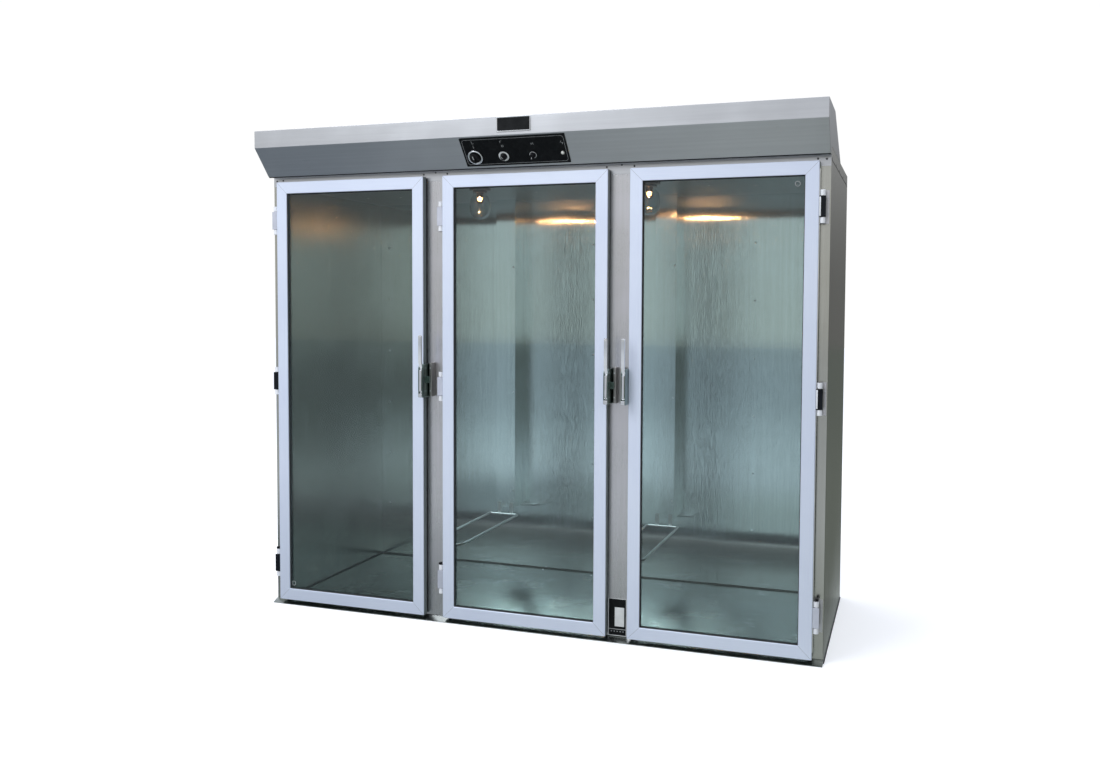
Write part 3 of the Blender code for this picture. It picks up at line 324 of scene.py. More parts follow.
studio_floor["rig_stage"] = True
print("studio with 3 soft lamps")

# %% [markdown]
# Brushed stainless steel has scratches that all run one way. They make it rougher, they catch the
# light as thin streaks, and they pull a reflected lamp into a line across them. Thin sheet also
# bows a little between its folds, which bends reflections into slow waves. So the pattern has four
# layers: fine lines, broad streaks, hand smudges, and one large slow wave in the surface itself.

# %% Brushed steel
GRAINS = {"X": (0.012, 1, 1), "Y": (1, 0.012, 1), "Z": (1, 1, 0.012)}


def steel(name, dark, light, rough, grain, wave, comb=0.00002, pull=0.0):
    """Steel between two greys. The lines run along grain, comb is their depth, wave the sheet's bow."""

    def pattern(start):
        stretch = GRAINS[grain]
        lines = start.noise(0.0012, stretch)
        streaks = start.noise(0.012, stretch, detail=3.0)
        smudge = start.noise(0.22, detail=5.0).ease(0.42, 0.72)
        bow = start.noise(0.75, detail=1.0)
        tone = (0.55 * streaks + 0.30 * lines + 0.15 * smudge).ease(0.30, 0.68)
        scratched = start.bump(lines, comb)
        return {
            "Base Color": tone.blend((*dark, 1), (*light, 1)),
            "Roughness": rough + 0.10 * (lines - 0.5) + 0.04 * smudge,
            "Normal": start.bump(bow, wave, scratched),
        }

    return finish_of(name, {"Metallic": 1.0, "Anisotropic": pull}, pattern)


front_steel = steel("front_steel", (0.56, 0.56, 0.57), (0.62, 0.61, 0.64), 0.28, "Z", 0.002, 0.00001)
canopy_steel = steel("canopy_steel", (0.55, 0.56, 0.58), (0.60, 0.61, 0.63), 0.30, "X", 0.002, 0.000008)
side_steel = steel("side_steel", (0.47, 0.47, 0.43), (0.54, 0.54, 0.50), 0.20, "Z", 0.005)
chamber_steel = steel("chamber_steel", (0.72, 0.77, 0.77), (0.80, 0.86, 0.87), 0.10, "Z", 0.0008, 0.0003, 0.9)
# The ceiling steel is near black: a painted shade for the dim top of the chamber.
ceiling_steel_painted_shade = steel("ceiling_steel_painted_shade", (0.12, 0.145, 0.14), (0.17, 0.20, 0.195), 0.40, "Y", 0.003)
pan_steel = steel("pan_steel", (0.26, 0.28, 0.26), (0.34, 0.36, 0.34), 0.24, "X", 0.001)
fitting_steel = steel("fitting_steel", (0.50, 0.52, 0.51), (0.62, 0.63, 0.62), 0.28, "Y", 0.0005)
print("7 steels")

# %% [markdown]
# The door frames are bright anodised aluminium. The bars are drawn through a die, so faint lines
# run along each bar: upright in the stiles and level in the rails. The bars are mitred, so a
# hairline shows where they meet at 45 degrees. We find the nearer edge of the door at each point,
# which tells both which bar we are on and how far we are from the mitre. That needs the door's
# middle, so each door has its own copy of the finish. The narrow sides of the bars are coloured
# dark teal, a painted shade for the shadowed gap beside each door.

# %% Anodised door bars with mitred corners
MITRE_LINE = 0.0007
SHADED_SIDE_BAND = 0.003


def anodised(name, low, high):
    middle_x, middle_z = (low.x + high.x) / 2, (low.z + high.z) / 2
    half_x, half_z = (high.x - low.x) / 2, (high.z - low.z) / 2

    def pattern(start):
        place = start.node("ShaderNodeTexCoord", out="Object")
        x = start.node("ShaderNodeSeparateXYZ", {}, {"Vector": place}, out="X")
        z = x.beside("Z")
        to_side = half_x - abs(x - middle_x)
        to_end = half_z - abs(z - middle_z)
        lead = to_side - to_end
        upright = start.noise(0.0016, GRAINS["Z"])
        lying = start.noise(0.0016, GRAINS["X"])
        on_rail = lead > 0
        drawn = upright * (1 - on_rail) + lying * on_rail
        cloud = start.noise(0.30, detail=3.0)
        mitre = 1 - abs(lead).ease(MITRE_LINE * 0.4, MITRE_LINE * 1.6)
        plain = (0.5 * drawn + 0.5 * cloud).ease(0.3, 0.7)
        face = plain.blend((0.74, 0.80, 0.95, 1), (0.80, 0.86, 0.99, 1))
        # Behind the front face the bars turn dark teal: a painted shade on their narrow sides.
        face_and_shaded_sides = x.beside("Y").ease(low.y + SHADED_SIDE_BAND, low.y + 2 * SHADED_SIDE_BAND).blend(face, (0.20, 0.24, 0.24, 1))
        return {
            "Base Color": mitre.blend(face_and_shaded_sides, (0.34, 0.36, 0.40, 1)),
            "Roughness": 0.36 + 0.08 * drawn + 0.15 * mitre,
            "Normal": start.bump(drawn, 0.00003),
        }

    return finish_of(name, {"Metallic": 0.35}, pattern)


for label in DOORS:
    node = frame["nodes"][label + "_door_frame"]
    node.data.materials.clear()
    node.data.materials.append(anodised(label + "_anodised", *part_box(label + "_door_frame")))
print("anodised finishes for", ", ".join(DOORS))

# %% [markdown]
# Glass is hard to get right with one shader, because real panes tint what is behind them, mirror
# a little of the room, and pick up finger marks. We mix two shaders: a tinted clear one, and a
# mirror. Schlick's rule gives the share of the mirror: 4 parts in 100 when we look straight in, and
# more with the fifth power of the slant. A Fresnel node would do the same on the way in, but on the
# way out of a pane that does not bend light it turns into a full mirror. Faint marks add to it.
# Light still passes straight through, so the chamber is lit from outside as in the real one.

# %% Door glass and lamp glass
STRAIGHT_SHARE = 0.04


def pane(name, tint, mirror, marks):
    material = finish_of(name, {"Base Color": (0.9, 0.93, 0.95, 1), "Metallic": 1.0, "Roughness": 0.02})
    tree = material.node_tree
    start = Signal(tree)
    clear = start.node("ShaderNodeBsdfTransparent", {}, {"Color": (*tint, 1)})
    slant = start.node("ShaderNodeLayerWeight", {}, {"Blend": 0.5}, out="Facing")
    facing = STRAIGHT_SHARE + (1 - STRAIGHT_SHARE) * slant.math("POWER", slant, 5.0)
    smears = start.noise(0.16, (1, 1, 0.4), detail=4.0).ease(0.5, 0.8)
    share = mirror * facing + marks * smears
    shine = Signal(tree, tree.nodes["Principled BSDF"].outputs[0])
    both = start.node("ShaderNodeMixShader", {}, {0: share, 1: clear, 2: shine})
    tree.links.new(both.output, tree.nodes["Material Output"].inputs["Surface"])
    return material


door_glass = pane("door_glass", (0.86, 0.912, 0.912), 1.0, 0.004)
lamp_glass = pane("lamp_glass", (0.98, 0.99, 0.99), 1.6, 0.02)
print("2 glasses")

# %% [markdown]
# The small parts have simple finishes, but none is a flat colour. Plated castings are bright with
# a soft ripple, rubber is dull with a fine skin, moulded plastic has a fine grain, enamel has the
# slight orange peel of sprayed paint, and galvanised sheet shows large zinc crystals, which are
# the cells of a Voronoi pattern.

# %% Small finishes
def rippled(name, dark, light, metallic, rough, size, depth, extra=None):
    """A finish between two tones with a rippled skin: size and depth of the ripple in metres."""

    def pattern(start):
        skin = start.noise(size, detail=3.0)
        cloud = start.noise(size * 30, detail=3.0)
        return {
            "Base Color": cloud.ease(0.3, 0.7).blend((*dark, 1), (*light, 1)),
            "Roughness": rough + 0.25 * rough * (cloud - 0.5) + 0.1 * rough * skin,
            "Normal": start.bump(skin, depth),
        }

    return finish_of(name, {"Metallic": metallic, **(extra or {})}, pattern)


chrome = rippled("chrome", (0.74, 0.75, 0.77), (0.86, 0.87, 0.88), 1.0, 0.14, 0.004, 0.00005)
dull_chrome = rippled("dull_chrome", (0.52, 0.53, 0.54), (0.68, 0.69, 0.70), 1.0, 0.28, 0.002, 0.00004)
rubber = rippled("rubber", (0.012, 0.012, 0.013), (0.028, 0.028, 0.030), 0.0, 0.72, 0.0008, 0.00008)
seal = rippled("seal", (0.030, 0.032, 0.028), (0.060, 0.062, 0.055), 0.0, 0.60, 0.003, 0.0003)
black_plastic = rippled("black_plastic", (0.006, 0.006, 0.007), (0.012, 0.012, 0.014), 0.0, 0.30, 0.0005, 0.00002,
                        {"Specular IOR Level": 0.15})
MATT = {"Specular IOR Level": 0.12}
enamel = rippled("enamel", (0.004, 0.005, 0.006), (0.008, 0.009, 0.010), 0.0, 0.26, 0.0015, 0.00001, MATT)
plate_black = rippled("plate_black", (0.004, 0.005, 0.006), (0.010, 0.011, 0.012), 0.0, 0.35, 0.001, 0.00001, MATT)
hinge_white = rippled("hinge_white", (0.84, 0.85, 0.88), (0.94, 0.95, 0.98), 0.0, 0.20, 0.004, 0.00005)
# The two leaf finishes below are one plated part: their pale lavender and near-black tones are painted reflections.
hinge_leaf_painted_bright_reflection = rippled("hinge_leaf_painted_bright_reflection", (0.58, 0.60, 0.68), (0.70, 0.72, 0.82), 0.4, 0.24, 0.004, 0.00005)
hinge_leaf_painted_dark_reflection = rippled("hinge_leaf_painted_dark_reflection", (0.004, 0.005, 0.007), (0.010, 0.012, 0.016), 0.0, 0.22, 0.004, 0.00005, MATT)
body_metal = rippled("body_metal", (0.19, 0.26, 0.24), (0.27, 0.35, 0.33), 1.0, 0.20, 0.006, 0.00006)
strike_metal = rippled("strike_metal", (0.34, 0.33, 0.32), (0.42, 0.41, 0.40), 1.0, 0.34, 0.003, 0.00004)
print_grey = rippled("print_grey", (0.30, 0.31, 0.31), (0.40, 0.41, 0.41), 0.0, 0.50, 0.001, 0.00001)
print_white = rippled("print_white", (0.74, 0.75, 0.74), (0.82, 0.83, 0.82), 0.0, 0.50, 0.001, 0.00001)
dark_holder = rippled("dark_holder", (0.030, 0.034, 0.036), (0.060, 0.066, 0.070), 0.0, 0.45, 0.003, 0.00005)
pale_lens = rippled("pale_lens", (0.70, 0.70, 0.62), (0.84, 0.84, 0.78), 0.0, 0.12, 0.002, 0.00003,
                    {"Coat Weight": 0.6})
motor_grey = rippled("motor_grey", (0.14, 0.15, 0.16), (0.20, 0.21, 0.22), 0.3, 0.50, 0.001, 0.00005)
# Dark screw heads: a painted shade of the recesses the screws sit in.
screw_painted_shade = rippled("screw_painted_shade", (0.10, 0.10, 0.11), (0.20, 0.20, 0.21), 1.0, 0.35, 0.001, 0.00003)


def zinc(start):
    crystals = start.node("ShaderNodeTexVoronoi", {}, {"Scale": 55.0}, out="Color")
    cell = start.node("ShaderNodeSeparateColor", {}, {"Color": crystals})
    return {
        "Base Color": cell.blend((0.42, 0.44, 0.46, 1), (0.66, 0.68, 0.70, 1)),
        "Roughness": 0.34 + 0.22 * cell,
    }


def heat_tint(start):
    bands = start.noise(0.05, detail=3.0).ease(0.35, 0.65)
    return {
        "Base Color": bands.blend((0.16, 0.12, 0.10, 1), (0.30, 0.26, 0.25, 1)),
        "Roughness": 0.42 + 0.2 * bands,
    }


galvanised = finish_of("galvanised", {"Metallic": 0.9}, zinc)
heater_tube = finish_of("heater_tube", {"Metallic": 0.9}, heat_tint)
print("19 small finishes")

# %% Give every bare part its finish
FINISHES = {
    "floor_pan": pan_steel,
    "left_wall": side_steel,
    "right_wall": side_steel,
    "rear_wall": chamber_steel,
    "header_rail": front_steel,
    "left_mullion": front_steel,
    "right_mullion": front_steel,
    "roof_panel": side_steel,
    "ceiling_panel": ceiling_steel_painted_shade,
    "left_air_duct": chamber_steel,
    "right_air_duct": chamber_steel,
    "left_rack_guide": fitting_steel,
    "right_rack_guide": fitting_steel,
    "canopy_shell": canopy_steel,
    "control_plate": enamel,
    "temperature_knob": black_plastic,
    "humidity_knob": black_plastic,
    "mode_knob": black_plastic,
    "pilot_lamp": pale_lens,
    "name_badge": plate_black,
    "rating_plate": plate_black,
    "blower_housing": galvanised,
    "blower_wheel": galvanised,
    "blower_motor": motor_grey,
    "heater_element": heater_tube,
    "humidity_water_pan": fitting_steel,
}
ENDINGS = {
    "_door_glass": door_glass,
    "_lamp_globe": lamp_glass,
    "_lamp_base": dark_holder,
    "_door_gasket": rubber,
    "_hinge": front_steel,
    "_hinge_strip": chrome,
    "_latch_body": body_metal,
    "_latch_lever": chrome,
    "_latch_strike": strike_metal,
}


def finish_for(node):
    """The finish of a bare part, by its name or by the ending of its name."""
    if node in FINISHES:
        return FINISHES[node]
    return next((ENDINGS[end] for end in ENDINGS if node.endswith(end)), None)


for name, part in frame["nodes"].items():
    if finish_for(name):
        part.data.materials.clear()
        part.data.materials.append(finish_for(name))
print("finishes on", len(frame["nodes"]), "bare parts")

# %% [markdown]
# Every new piece below is a grid of points, worked out as one array: the rows run along the shape
# and the columns run round it. Neighbouring points make the faces. A grid either closes at both
# ends on a middle point, which makes a solid like a bulb or a screw, or joins its last row to its
# first, which makes a ring like a border.

# %% Helpers that turn arrays into solid pieces
def mesh_of(grids, ring):
    """Points and faces of closed shells. Each grid is an array (rows, columns, 3)."""
    points, faces, start = [], [], 0
    for grid in grids:
        rows, columns = grid.shape[:2]
        index = np.arange(rows * columns).reshape(rows, columns) + start
        low = index if ring else index[:-1]
        high = np.roll(index, -1, axis=0) if ring else index[1:]
        cells = np.stack([low, np.roll(low, -1, 1), np.roll(high, -1, 1), high], axis=-1)
        faces += cells.reshape(-1, 4).tolist()
        points.append(grid.reshape(-1, 3))
        start += rows * columns
        if not ring:
            for edge in (0, -1):
                pole = np.full(columns, start)
                fan = np.stack([index[edge], np.roll(index[edge], -1), pole], axis=-1)
                faces += fan.tolist()
                points.append(grid[edge].mean(axis=0)[None])
                start += 1
    return np.concatenate(points), faces


def piece_of(name, points, faces, body, finish, sharp=35.0):
    """Makes the object, turns its faces outwards and lets it ride on its body."""
    mesh = bpy.data.meshes.new(name)
    mesh.from_pydata(np.asarray(points).tolist(), [], faces)
    shape = bmesh.new()
    shape.from_mesh(mesh)
    bmesh.ops.recalc_face_normals(shape, faces=shape.faces)
    shape.to_mesh(mesh)
    shape.free()
    mesh.shade_smooth()
    mesh.set_sharp_from_angle(angle=math.radians(sharp))
    mesh.materials.append(finish)
    piece = bpy.data.objects.new(name, mesh)
    scene.collection.objects.link(piece)
    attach(piece, body)
    return piece


def shells(name, grids, body, finish, ring=False, sharp=35.0):
    points, faces = mesh_of(grids, ring)
    return piece_of(name, points, faces, body, finish, sharp)


def turned(profile, count):
    """A profile of (radius, height) carried round: (r cos t, r sin t, h) for t round the circle."""
    turn = np.arange(count) * (math.tau / count)
    radius, height = np.array(profile, float).T
    rise = np.repeat(height[:, None], count, axis=1)
    return np.stack([np.outer(radius, np.cos(turn)), np.outer(radius, np.sin(turn)), rise], axis=-1)


def stepped(width, height, radius, steps, cells=5):
    """A rounded rectangle that is pulled in by the first and lifted by the second value of each step."""
    quarter = np.repeat(np.arange(4), cells + 1)
    turn = (quarter + np.tile(np.linspace(0, 1, cells + 1), 4)) * (math.pi / 2)
    sides = np.array([(1, 1), (-1, 1), (-1, -1), (1, -1)])[quarter]
    inset, lift = np.array(steps, float).T[:, :, None]
    corner = np.maximum(radius - inset, 0.0001)
    x = sides[:, 0] * (width / 2 - inset - corner) + corner * np.cos(turn)
    y = sides[:, 1] * (height / 2 - inset - corner) + corner * np.sin(turn)
    return np.stack([x, y, np.broadcast_to(lift, x.shape)], axis=-1)


def placed(grid, origin, across, up, out):
    """Local (a, b, c) becomes origin + a across + b up + c out."""
    return np.asarray(grid) @ np.array([across, up, out], float) + np.array(origin, float)


def facing_front(grid, x, y, z):
    """Lays a shape on a face that looks towards the viewer, out along -Y."""
    return placed(grid, (x, y, z), (1, 0, 0), (0, 0, 1), (0, -1, 0))


print("helpers for grids are ready")

# %% [markdown]
# No real sheet or casting has a perfectly sharp edge, and the thin bright line along a fold is
# what tells the eye that it is metal. A CAD part stays as it is, so we take a copy, merge its
# loose triangles, join the flat ones, and let a Bevel modifier round the edges. The copy stands in
# for the CAD part. Faces with a bore in them keep their triangles, so that the bore stays open.

# %% Round the edges of folded sheet and castings
def softened(node, width, segments=2, join=True):
    """A copy of a CAD part with rounded edges. It stands for the part and moves as it does."""
    source = frame["nodes"][node]
    mesh = bpy.data.meshes.new(node + "_rounded")
    corners = np.empty(len(source.data.vertices) * 3)
    source.data.vertices.foreach_get("co", corners)
    triangles = [tuple(face.vertices) for face in source.data.polygons]
    mesh.from_pydata(corners.reshape(-1, 3).tolist(), [], triangles)
    shape = bmesh.new()
    shape.from_mesh(mesh)
    bmesh.ops.remove_doubles(shape, verts=shape.verts, dist=0.000005)
    if join:
        bmesh.ops.dissolve_limit(shape, angle_limit=math.radians(1), verts=shape.verts, edges=shape.edges)
    shape.to_mesh(mesh)
    shape.free()
    mesh.shade_smooth()
    mesh.set_sharp_from_angle(angle=math.radians(32))
    mesh.materials.append(finish_for(node))
    piece = bpy.data.objects.new(node + "_rounded", mesh)
    scene.collection.objects.link(piece)
    edge = piece.modifiers.new("edge", "BEVEL")
    edge.width = width
    edge.segments = segments
    edge.limit_method = "ANGLE"
    edge.angle_limit = math.radians(32)
    edge.harden_normals = True
    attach(piece, source["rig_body"])
    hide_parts(node)
    return piece


ROUNDED = {
    "canopy_shell": 0.0015,
    "left_wall": 0.0015,
    "right_wall": 0.0015,
    "left_mullion": 0.0010,
    "right_mullion": 0.0010,
    "floor_pan": 0.0008,
    "roof_panel": 0.0012,
    "left_air_duct": 0.0005,
    "right_air_duct": 0.0005,
}
for node, width in ROUNDED.items():
    softened(node, width)
for label in DOORS:
    softened(label + "_latch_body", 0.0012, 2, join=False)
    softened(label + "_latch_strike", 0.0018, 3)
    softened(label + "_latch_lever", 0.0020, 2, join=False)
print("rounded", len(ROUNDED) + 3 * len(DOORS), "parts")

# %% [markdown]
# A pan head screw is a low dome with a cross pressed into it. Its height is a function of where
# you are on the head: a circle's arc, less a slot wherever x or y is small near the middle. One
# grid makes one head, and the same head is laid down at every screw, so a row of screws is one
# piece.

# %% Screw heads
SCREW_SHARES = np.array([1.0, 1.0, 0.93, 0.80, 0.62, 0.46, 0.30, 0.15, 0.05])


def screw(radius, height, columns=24, turn=0.4):
    """Height is h (1 - r^2 / 2) less the cross slot, where the smaller of |x| and |y| is near 0."""
    angle = np.arange(columns) * (math.tau / columns)
    x = radius * np.outer(SCREW_SHARES, np.cos(angle))
    y = radius * np.outer(SCREW_SHARES, np.sin(angle))
    share = np.broadcast_to(SCREW_SHARES[:, None], x.shape)
    rise = height * (1 - 0.5 * share**2)
    near_line = np.clip(1 - np.minimum(abs(x), abs(y)) / (0.22 * radius), 0, 1)
    rise = rise - 0.55 * height * near_line * (share < 0.6)
    rise[0] = 0
    c, s = math.cos(turn), math.sin(turn)
    return np.stack([c * x - s * y, s * x + c * y, rise], axis=-1)


SEAM_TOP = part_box("canopy_shell")[0].z
BAND_TOP = SEAM_TOP - 0.0004
BAND_THICK = 0.0010
SKIN = 0.0003
HEADER_SCREWS = (
    (-1.272, 2.024), (-1.238, 2.026), (-0.495, 2.027), (-0.436, 2.034), (-0.378, 2.027),
    (0.367, 2.027), (0.433, 2.034), (0.488, 2.027), (1.238, 2.026), (1.272, 2.024),
)
band_front = FRONT - SKIN - BAND_THICK
# These heads are coloured near black, a painted shade of their recess.
header_screws = [facing_front(screw(0.0042, 0.0022, turn=0.3 * i), x, band_front, z)
                 for i, (x, z) in enumerate(HEADER_SCREWS)]
shells("header_screws", header_screws, "cabinet", screw_painted_shade)
print("header screws", len(header_screws))

# %% [markdown]
# Between the doors and the canopy runs a folded cover strip. It hides the joint between roof and
# front, and it comes down a little over each upright between the doors. Its outline is one
# polygon, pushed out by the thickness of the sheet. A dark strip under the lip of the canopy is a
# painted shadow, where the lip shades the seam.

# %% The cover strip over the doors
def panel(name, outline, back, front, body, finish):
    """A flat outline of (x, z) points made solid between two depths."""
    flat = np.array(outline, float)
    count = len(flat)
    far = np.column_stack([flat[:, 0], np.full(count, back), flat[:, 1]])
    near = np.column_stack([flat[:, 0], np.full(count, front), flat[:, 1]])
    ahead = np.roll(np.arange(count), -1)
    index = np.arange(count)
    walls = np.stack([index, ahead, ahead + count, index + count], axis=-1).tolist()
    caps = [index.tolist(), (index + count).tolist()]
    return piece_of(name, np.concatenate([far, near]), walls + caps, body, finish)


door_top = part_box("left_door_frame")[1].z
upright_foot = CEILING + 0.0025
band_foot = door_top - 0.0015
band_end = HALF_WIDTH - 0.0004
door_edges = sorted(v.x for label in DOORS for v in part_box(label + "_door_frame"))
EDGE_CLEARANCE = 0.0008
band_outline = [(-band_end, BAND_TOP), (-band_end, upright_foot)]
for near_edge, far_edge in zip(door_edges[0::2], door_edges[1::2]):
    start, end = near_edge - EDGE_CLEARANCE, far_edge + EDGE_CLEARANCE
    band_outline += [(start, upright_foot), (start, band_foot), (end, band_foot), (end, upright_foot)]
band_outline += [(band_end, upright_foot), (band_end, BAND_TOP)]
panel("cover_strip", band_outline, FRONT - SKIN, band_front, "cabinet", canopy_steel)
# A dark strip under the canopy's lip stands for its shadow: a painted shadow.
LIP_SHADOW_HIGH = 0.0036
lip_shadow_front = FRONT - 0.040
lip_shadow_points = [(-band_end, SEAM_TOP - LIP_SHADOW_HIGH), (-band_end, SEAM_TOP - SKIN), (band_end, SEAM_TOP - SKIN),
              (band_end, SEAM_TOP - LIP_SHADOW_HIGH)]
panel("canopy_lip_painted_shadow", lip_shadow_points, lip_shadow_front + 0.004, lip_shadow_front, "cabinet", rubber)
print("cover strip", len(band_outline), "corners")

# %% [markdown]
# Two bulbs glow amber under the ceiling, each in a clear jar. A bulb is a turned shape: a narrow
# cap, shoulders that widen, and a round end. The glass is amber and shines a little. The wire in
# it is a small bright arc, and a small warm lamp inside throws the light on the steel around it.

# %% Bulbs, glowing wires and their light
BULB_PROFILE = (
    (0.0110, 0.000), (0.0122, -0.003), (0.0142, -0.007), (0.0160, -0.011), (0.0168, -0.015),
    (0.0162, -0.019), (0.0140, -0.0228), (0.0105, -0.0255), (0.0060, -0.0272), (0.0020, -0.0278),
)
amber_glass = pane("amber_glass", (1.0, 0.82, 0.58), 0.5, 0.0)


def wire_glow(start):
    hot = start.noise(0.004).ease(0.3, 0.7)
    return {"Emission Color": hot.blend((1.0, 0.52, 0.16, 1), (1.0, 0.78, 0.42, 1))}


hot_wire = finish_of("hot_wire", {"Emission Strength": 20.0, "Roughness": 0.6}, wire_glow)
WIRE_RADIUS, WIRE_SPREAD, WIRE_SWING = 0.0018, 0.0105, 0.0060
WIRE_HEIGHT, LIGHT_HEIGHT = 1.937, 1.940
for label in ("left", "right"):
    low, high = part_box(label + "_lamp_base")
    x, y = (low.x + high.x) / 2, (low.y + high.y) / 2
    bulb = turned(BULB_PROFILE, 32) + np.array([x, y, low.z - SKIN])
    shells(label + "_bulb", [bulb], "cabinet", amber_glass)
    share = np.linspace(0, 1, 37)
    swing = np.stack([(share * 2 - 1) * WIRE_SPREAD, 0 * share, WIRE_SWING * np.cos(share * 3 * math.tau)], -1)
    around = np.arange(8) * (math.tau / 8)
    tube = swing[:, None] + WIRE_RADIUS * np.stack([0 * around, np.cos(around), np.sin(around)], -1)
    shells(label + "_glowing_wire", [tube + np.array([x, y, WIRE_HEIGHT])], "cabinet", hot_wire)
    light = bpy.data.lights.new(label + "_bulb_light", "POINT")
    light.energy = 2.0
    light.color = (1.0, 0.50, 0.27)
    light.shadow_soft_size = 0.008
    glow_lamp = bpy.data.objects.new(label + "_bulb_light", light)
    glow_lamp.location = (x, y, LIGHT_HEIGHT)
    glow_lamp.visible_camera = False
    scene.collection.objects.link(glow_lamp)
print("2 bulbs lit")

# %% [markdown]
# The pane of each door sits in the bars with a thin black glazing bead all round. A bead is a small
# half-round section carried round the opening, so its grid is a ring.

# %% Glazing beads
BEAD_WIDTH, BEAD_DEPTH = 0.0035, 0.0030
glass_low, glass_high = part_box("left_door_glass")
frame_low, frame_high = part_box("left_door_frame")
BAR = 0.054
for label, (body, side) in DOORS.items():
    low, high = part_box(label + "_door_frame")
    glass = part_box(label + "_door_glass")
    width, height = high.x - low.x - 2 * BAR, high.z - low.z - 2 * BAR
    middle_x, middle_z = (low.x + high.x) / 2, (low.z + high.z) / 2
    steps = [(0.0001, SKIN), (0.0001, BEAD_DEPTH), (BEAD_WIDTH * 0.45, BEAD_DEPTH * 0.9), (BEAD_WIDTH, SKIN)]
    bead = stepped(width, height, 0.001, steps)
    front_bead = facing_front(bead, middle_x, glass[0].y, middle_z)
    back_bead = placed(bead, (middle_x, glass[1].y, middle_z), (1, 0, 0), (0, 0, 1), (0, 1, 0))
    shells(label + "_glazing_bead", [front_bead, back_bead], body, rubber, ring=True, sharp=60)
print("glazing beads for", len(DOORS), "doors")

# %% [markdown]
# The sloping face carries the black control plate. Its thin pale outline and the marks over the knobs
# are printed, so they are very thin solids that lie on the enamel. We need the plate's own
# directions: across it, up its slope, and out of it.

# %% Directions of the sloping control plate
plate_low, plate_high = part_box("control_plate")
SLOPE_RUN, SLOPE_RISE = 0.106, 0.120
slope = math.hypot(SLOPE_RUN, SLOPE_RISE)
UP_SLOPE = (0.0, -SLOPE_RUN / slope, SLOPE_RISE / slope)
OUT_SLOPE = (0.0, -SLOPE_RISE / slope, -SLOPE_RUN / slope)
PLATE_THICK = 0.002
PLATE_WIDTH = plate_high.x - plate_low.x
PLATE_HEIGHT = (plate_high.z - plate_low.z + PLATE_THICK * OUT_SLOPE[2]) / UP_SLOPE[2]
plate_middle = (Vector(plate_low) + Vector(plate_high)) / 2
plate_middle += Vector(OUT_SLOPE) * (PLATE_THICK / 2)


def on_plate(grid, across, up, lift=0.0):
    """Lays a shape on the control plate, at a place across it and up its slope."""
    origin = np.array(plate_middle) + np.array([across, 0, 0]) + np.array(UP_SLOPE) * up
    return placed(grid, origin + np.array(OUT_SLOPE) * lift, (1, 0, 0), UP_SLOPE, OUT_SLOPE)


print("plate middle", [round(v, 4) for v in plate_middle])

# %% Prints on the control plate
INK = 0.00012
OUTLINE_INSET, OUTLINE_WIDTH = 0.0085, 0.0012
outline = stepped(PLATE_WIDTH - 2 * OUTLINE_INSET, PLATE_HEIGHT - 2 * OUTLINE_INSET, 0.012,
                  [(0, 0), (0, INK), (OUTLINE_WIDTH, INK), (OUTLINE_WIDTH, 0)])
shells("plate_outline", [on_plate(outline, 0, 0)], "cabinet", print_grey, ring=True)
KNOB_UP = -0.024
KNOBS = {"temperature": -0.188, "humidity": -0.054, "mode": 0.080}


def bar(x, y, length, width, turn=0.0):
    """A short printed line with round ends, turned by an angle in degrees."""
    mark = stepped(length, width, width / 2.05, [(0, 0), (0, INK)], cells=3)
    angle = math.radians(turn)
    across, up = (math.cos(angle), math.sin(angle), 0), (-math.sin(angle), math.cos(angle), 0)
    return placed(mark, (x, y, 0), across, up, (0, 0, 1))


print("plate", round(PLATE_WIDTH, 3), "by", round(PLATE_HEIGHT, 3))

# %% Symbols over the knobs
MARKS = (
    (-0.186, 0.050, 0.012, 100), (-0.182, 0.043, 0.009, 20), (-0.184, 0.028, 0.012, 95), (-0.184, 0.022, 0.006, 0),
    (-0.052, 0.050, 0.012, 15), (-0.056, 0.045, 0.010, 100), (-0.049, 0.029, 0.008, 0), (-0.049, 0.021, 0.008, 0),
    (-0.053, 0.025, 0.008, 90), (-0.045, 0.025, 0.008, 90), (0.083, 0.029, 0.010, 90), (0.088, 0.031, 0.008, 60),
    (0.092, 0.029, 0.010, 90), (0.216, 0.033, 0.011, 55), (0.220, 0.028, 0.009, 150), (0.223, 0.024, 0.011, 55),
)
symbols = [on_plate(bar(x, y, length, 0.0018, turn), 0, 0) for x, y, length, turn in MARKS]
shells("knob_symbols", symbols, "cabinet", print_grey)
print("symbols", len(symbols))

# %% [markdown]
# A knob is a thin round skirt, a fluted grip and a raised bar that one pinches. The skirt and the bar
# are turned and stepped shapes. The grip is a turned shape whose radius swells and shrinks with the
# angle, r (1 + a cos(n t)), which is what fluting is. The temperature knob has a bright ring, the
# humidity knob a broad pale band, and the mode knob a thin pale one. All of it turns with the knob,
# so it rides on the knob's own body, and the black shape stands for the bare knob.

# %% Knobs
KNOB_LIFT = 0.0003
SKIRT_HIGH = 0.0030


def fluted(radius, low, high, flutes, depth, columns=96):
    """Rows up the grip; the radius of a row is scaled by 1 + depth cos(flutes t), less at the top."""
    turn = np.arange(columns) * (math.tau / columns)
    rows = np.array([(1.0, 0.0), (1.0, 0.3), (0.97, 0.75), (0.94, 0.92), (0.86, 1.0), (0.3, 1.0)])
    swell = 1 + depth * np.cos(flutes * turn)[None] * np.array([1, 1, 1, 0.8, 0.3, 0])[:, None]
    r = radius * rows[:, :1] * swell
    rise = np.repeat(low + (high - low) * rows[:, 1:], columns, axis=1)
    return np.stack([r * np.cos(turn), r * np.sin(turn), rise], axis=-1)


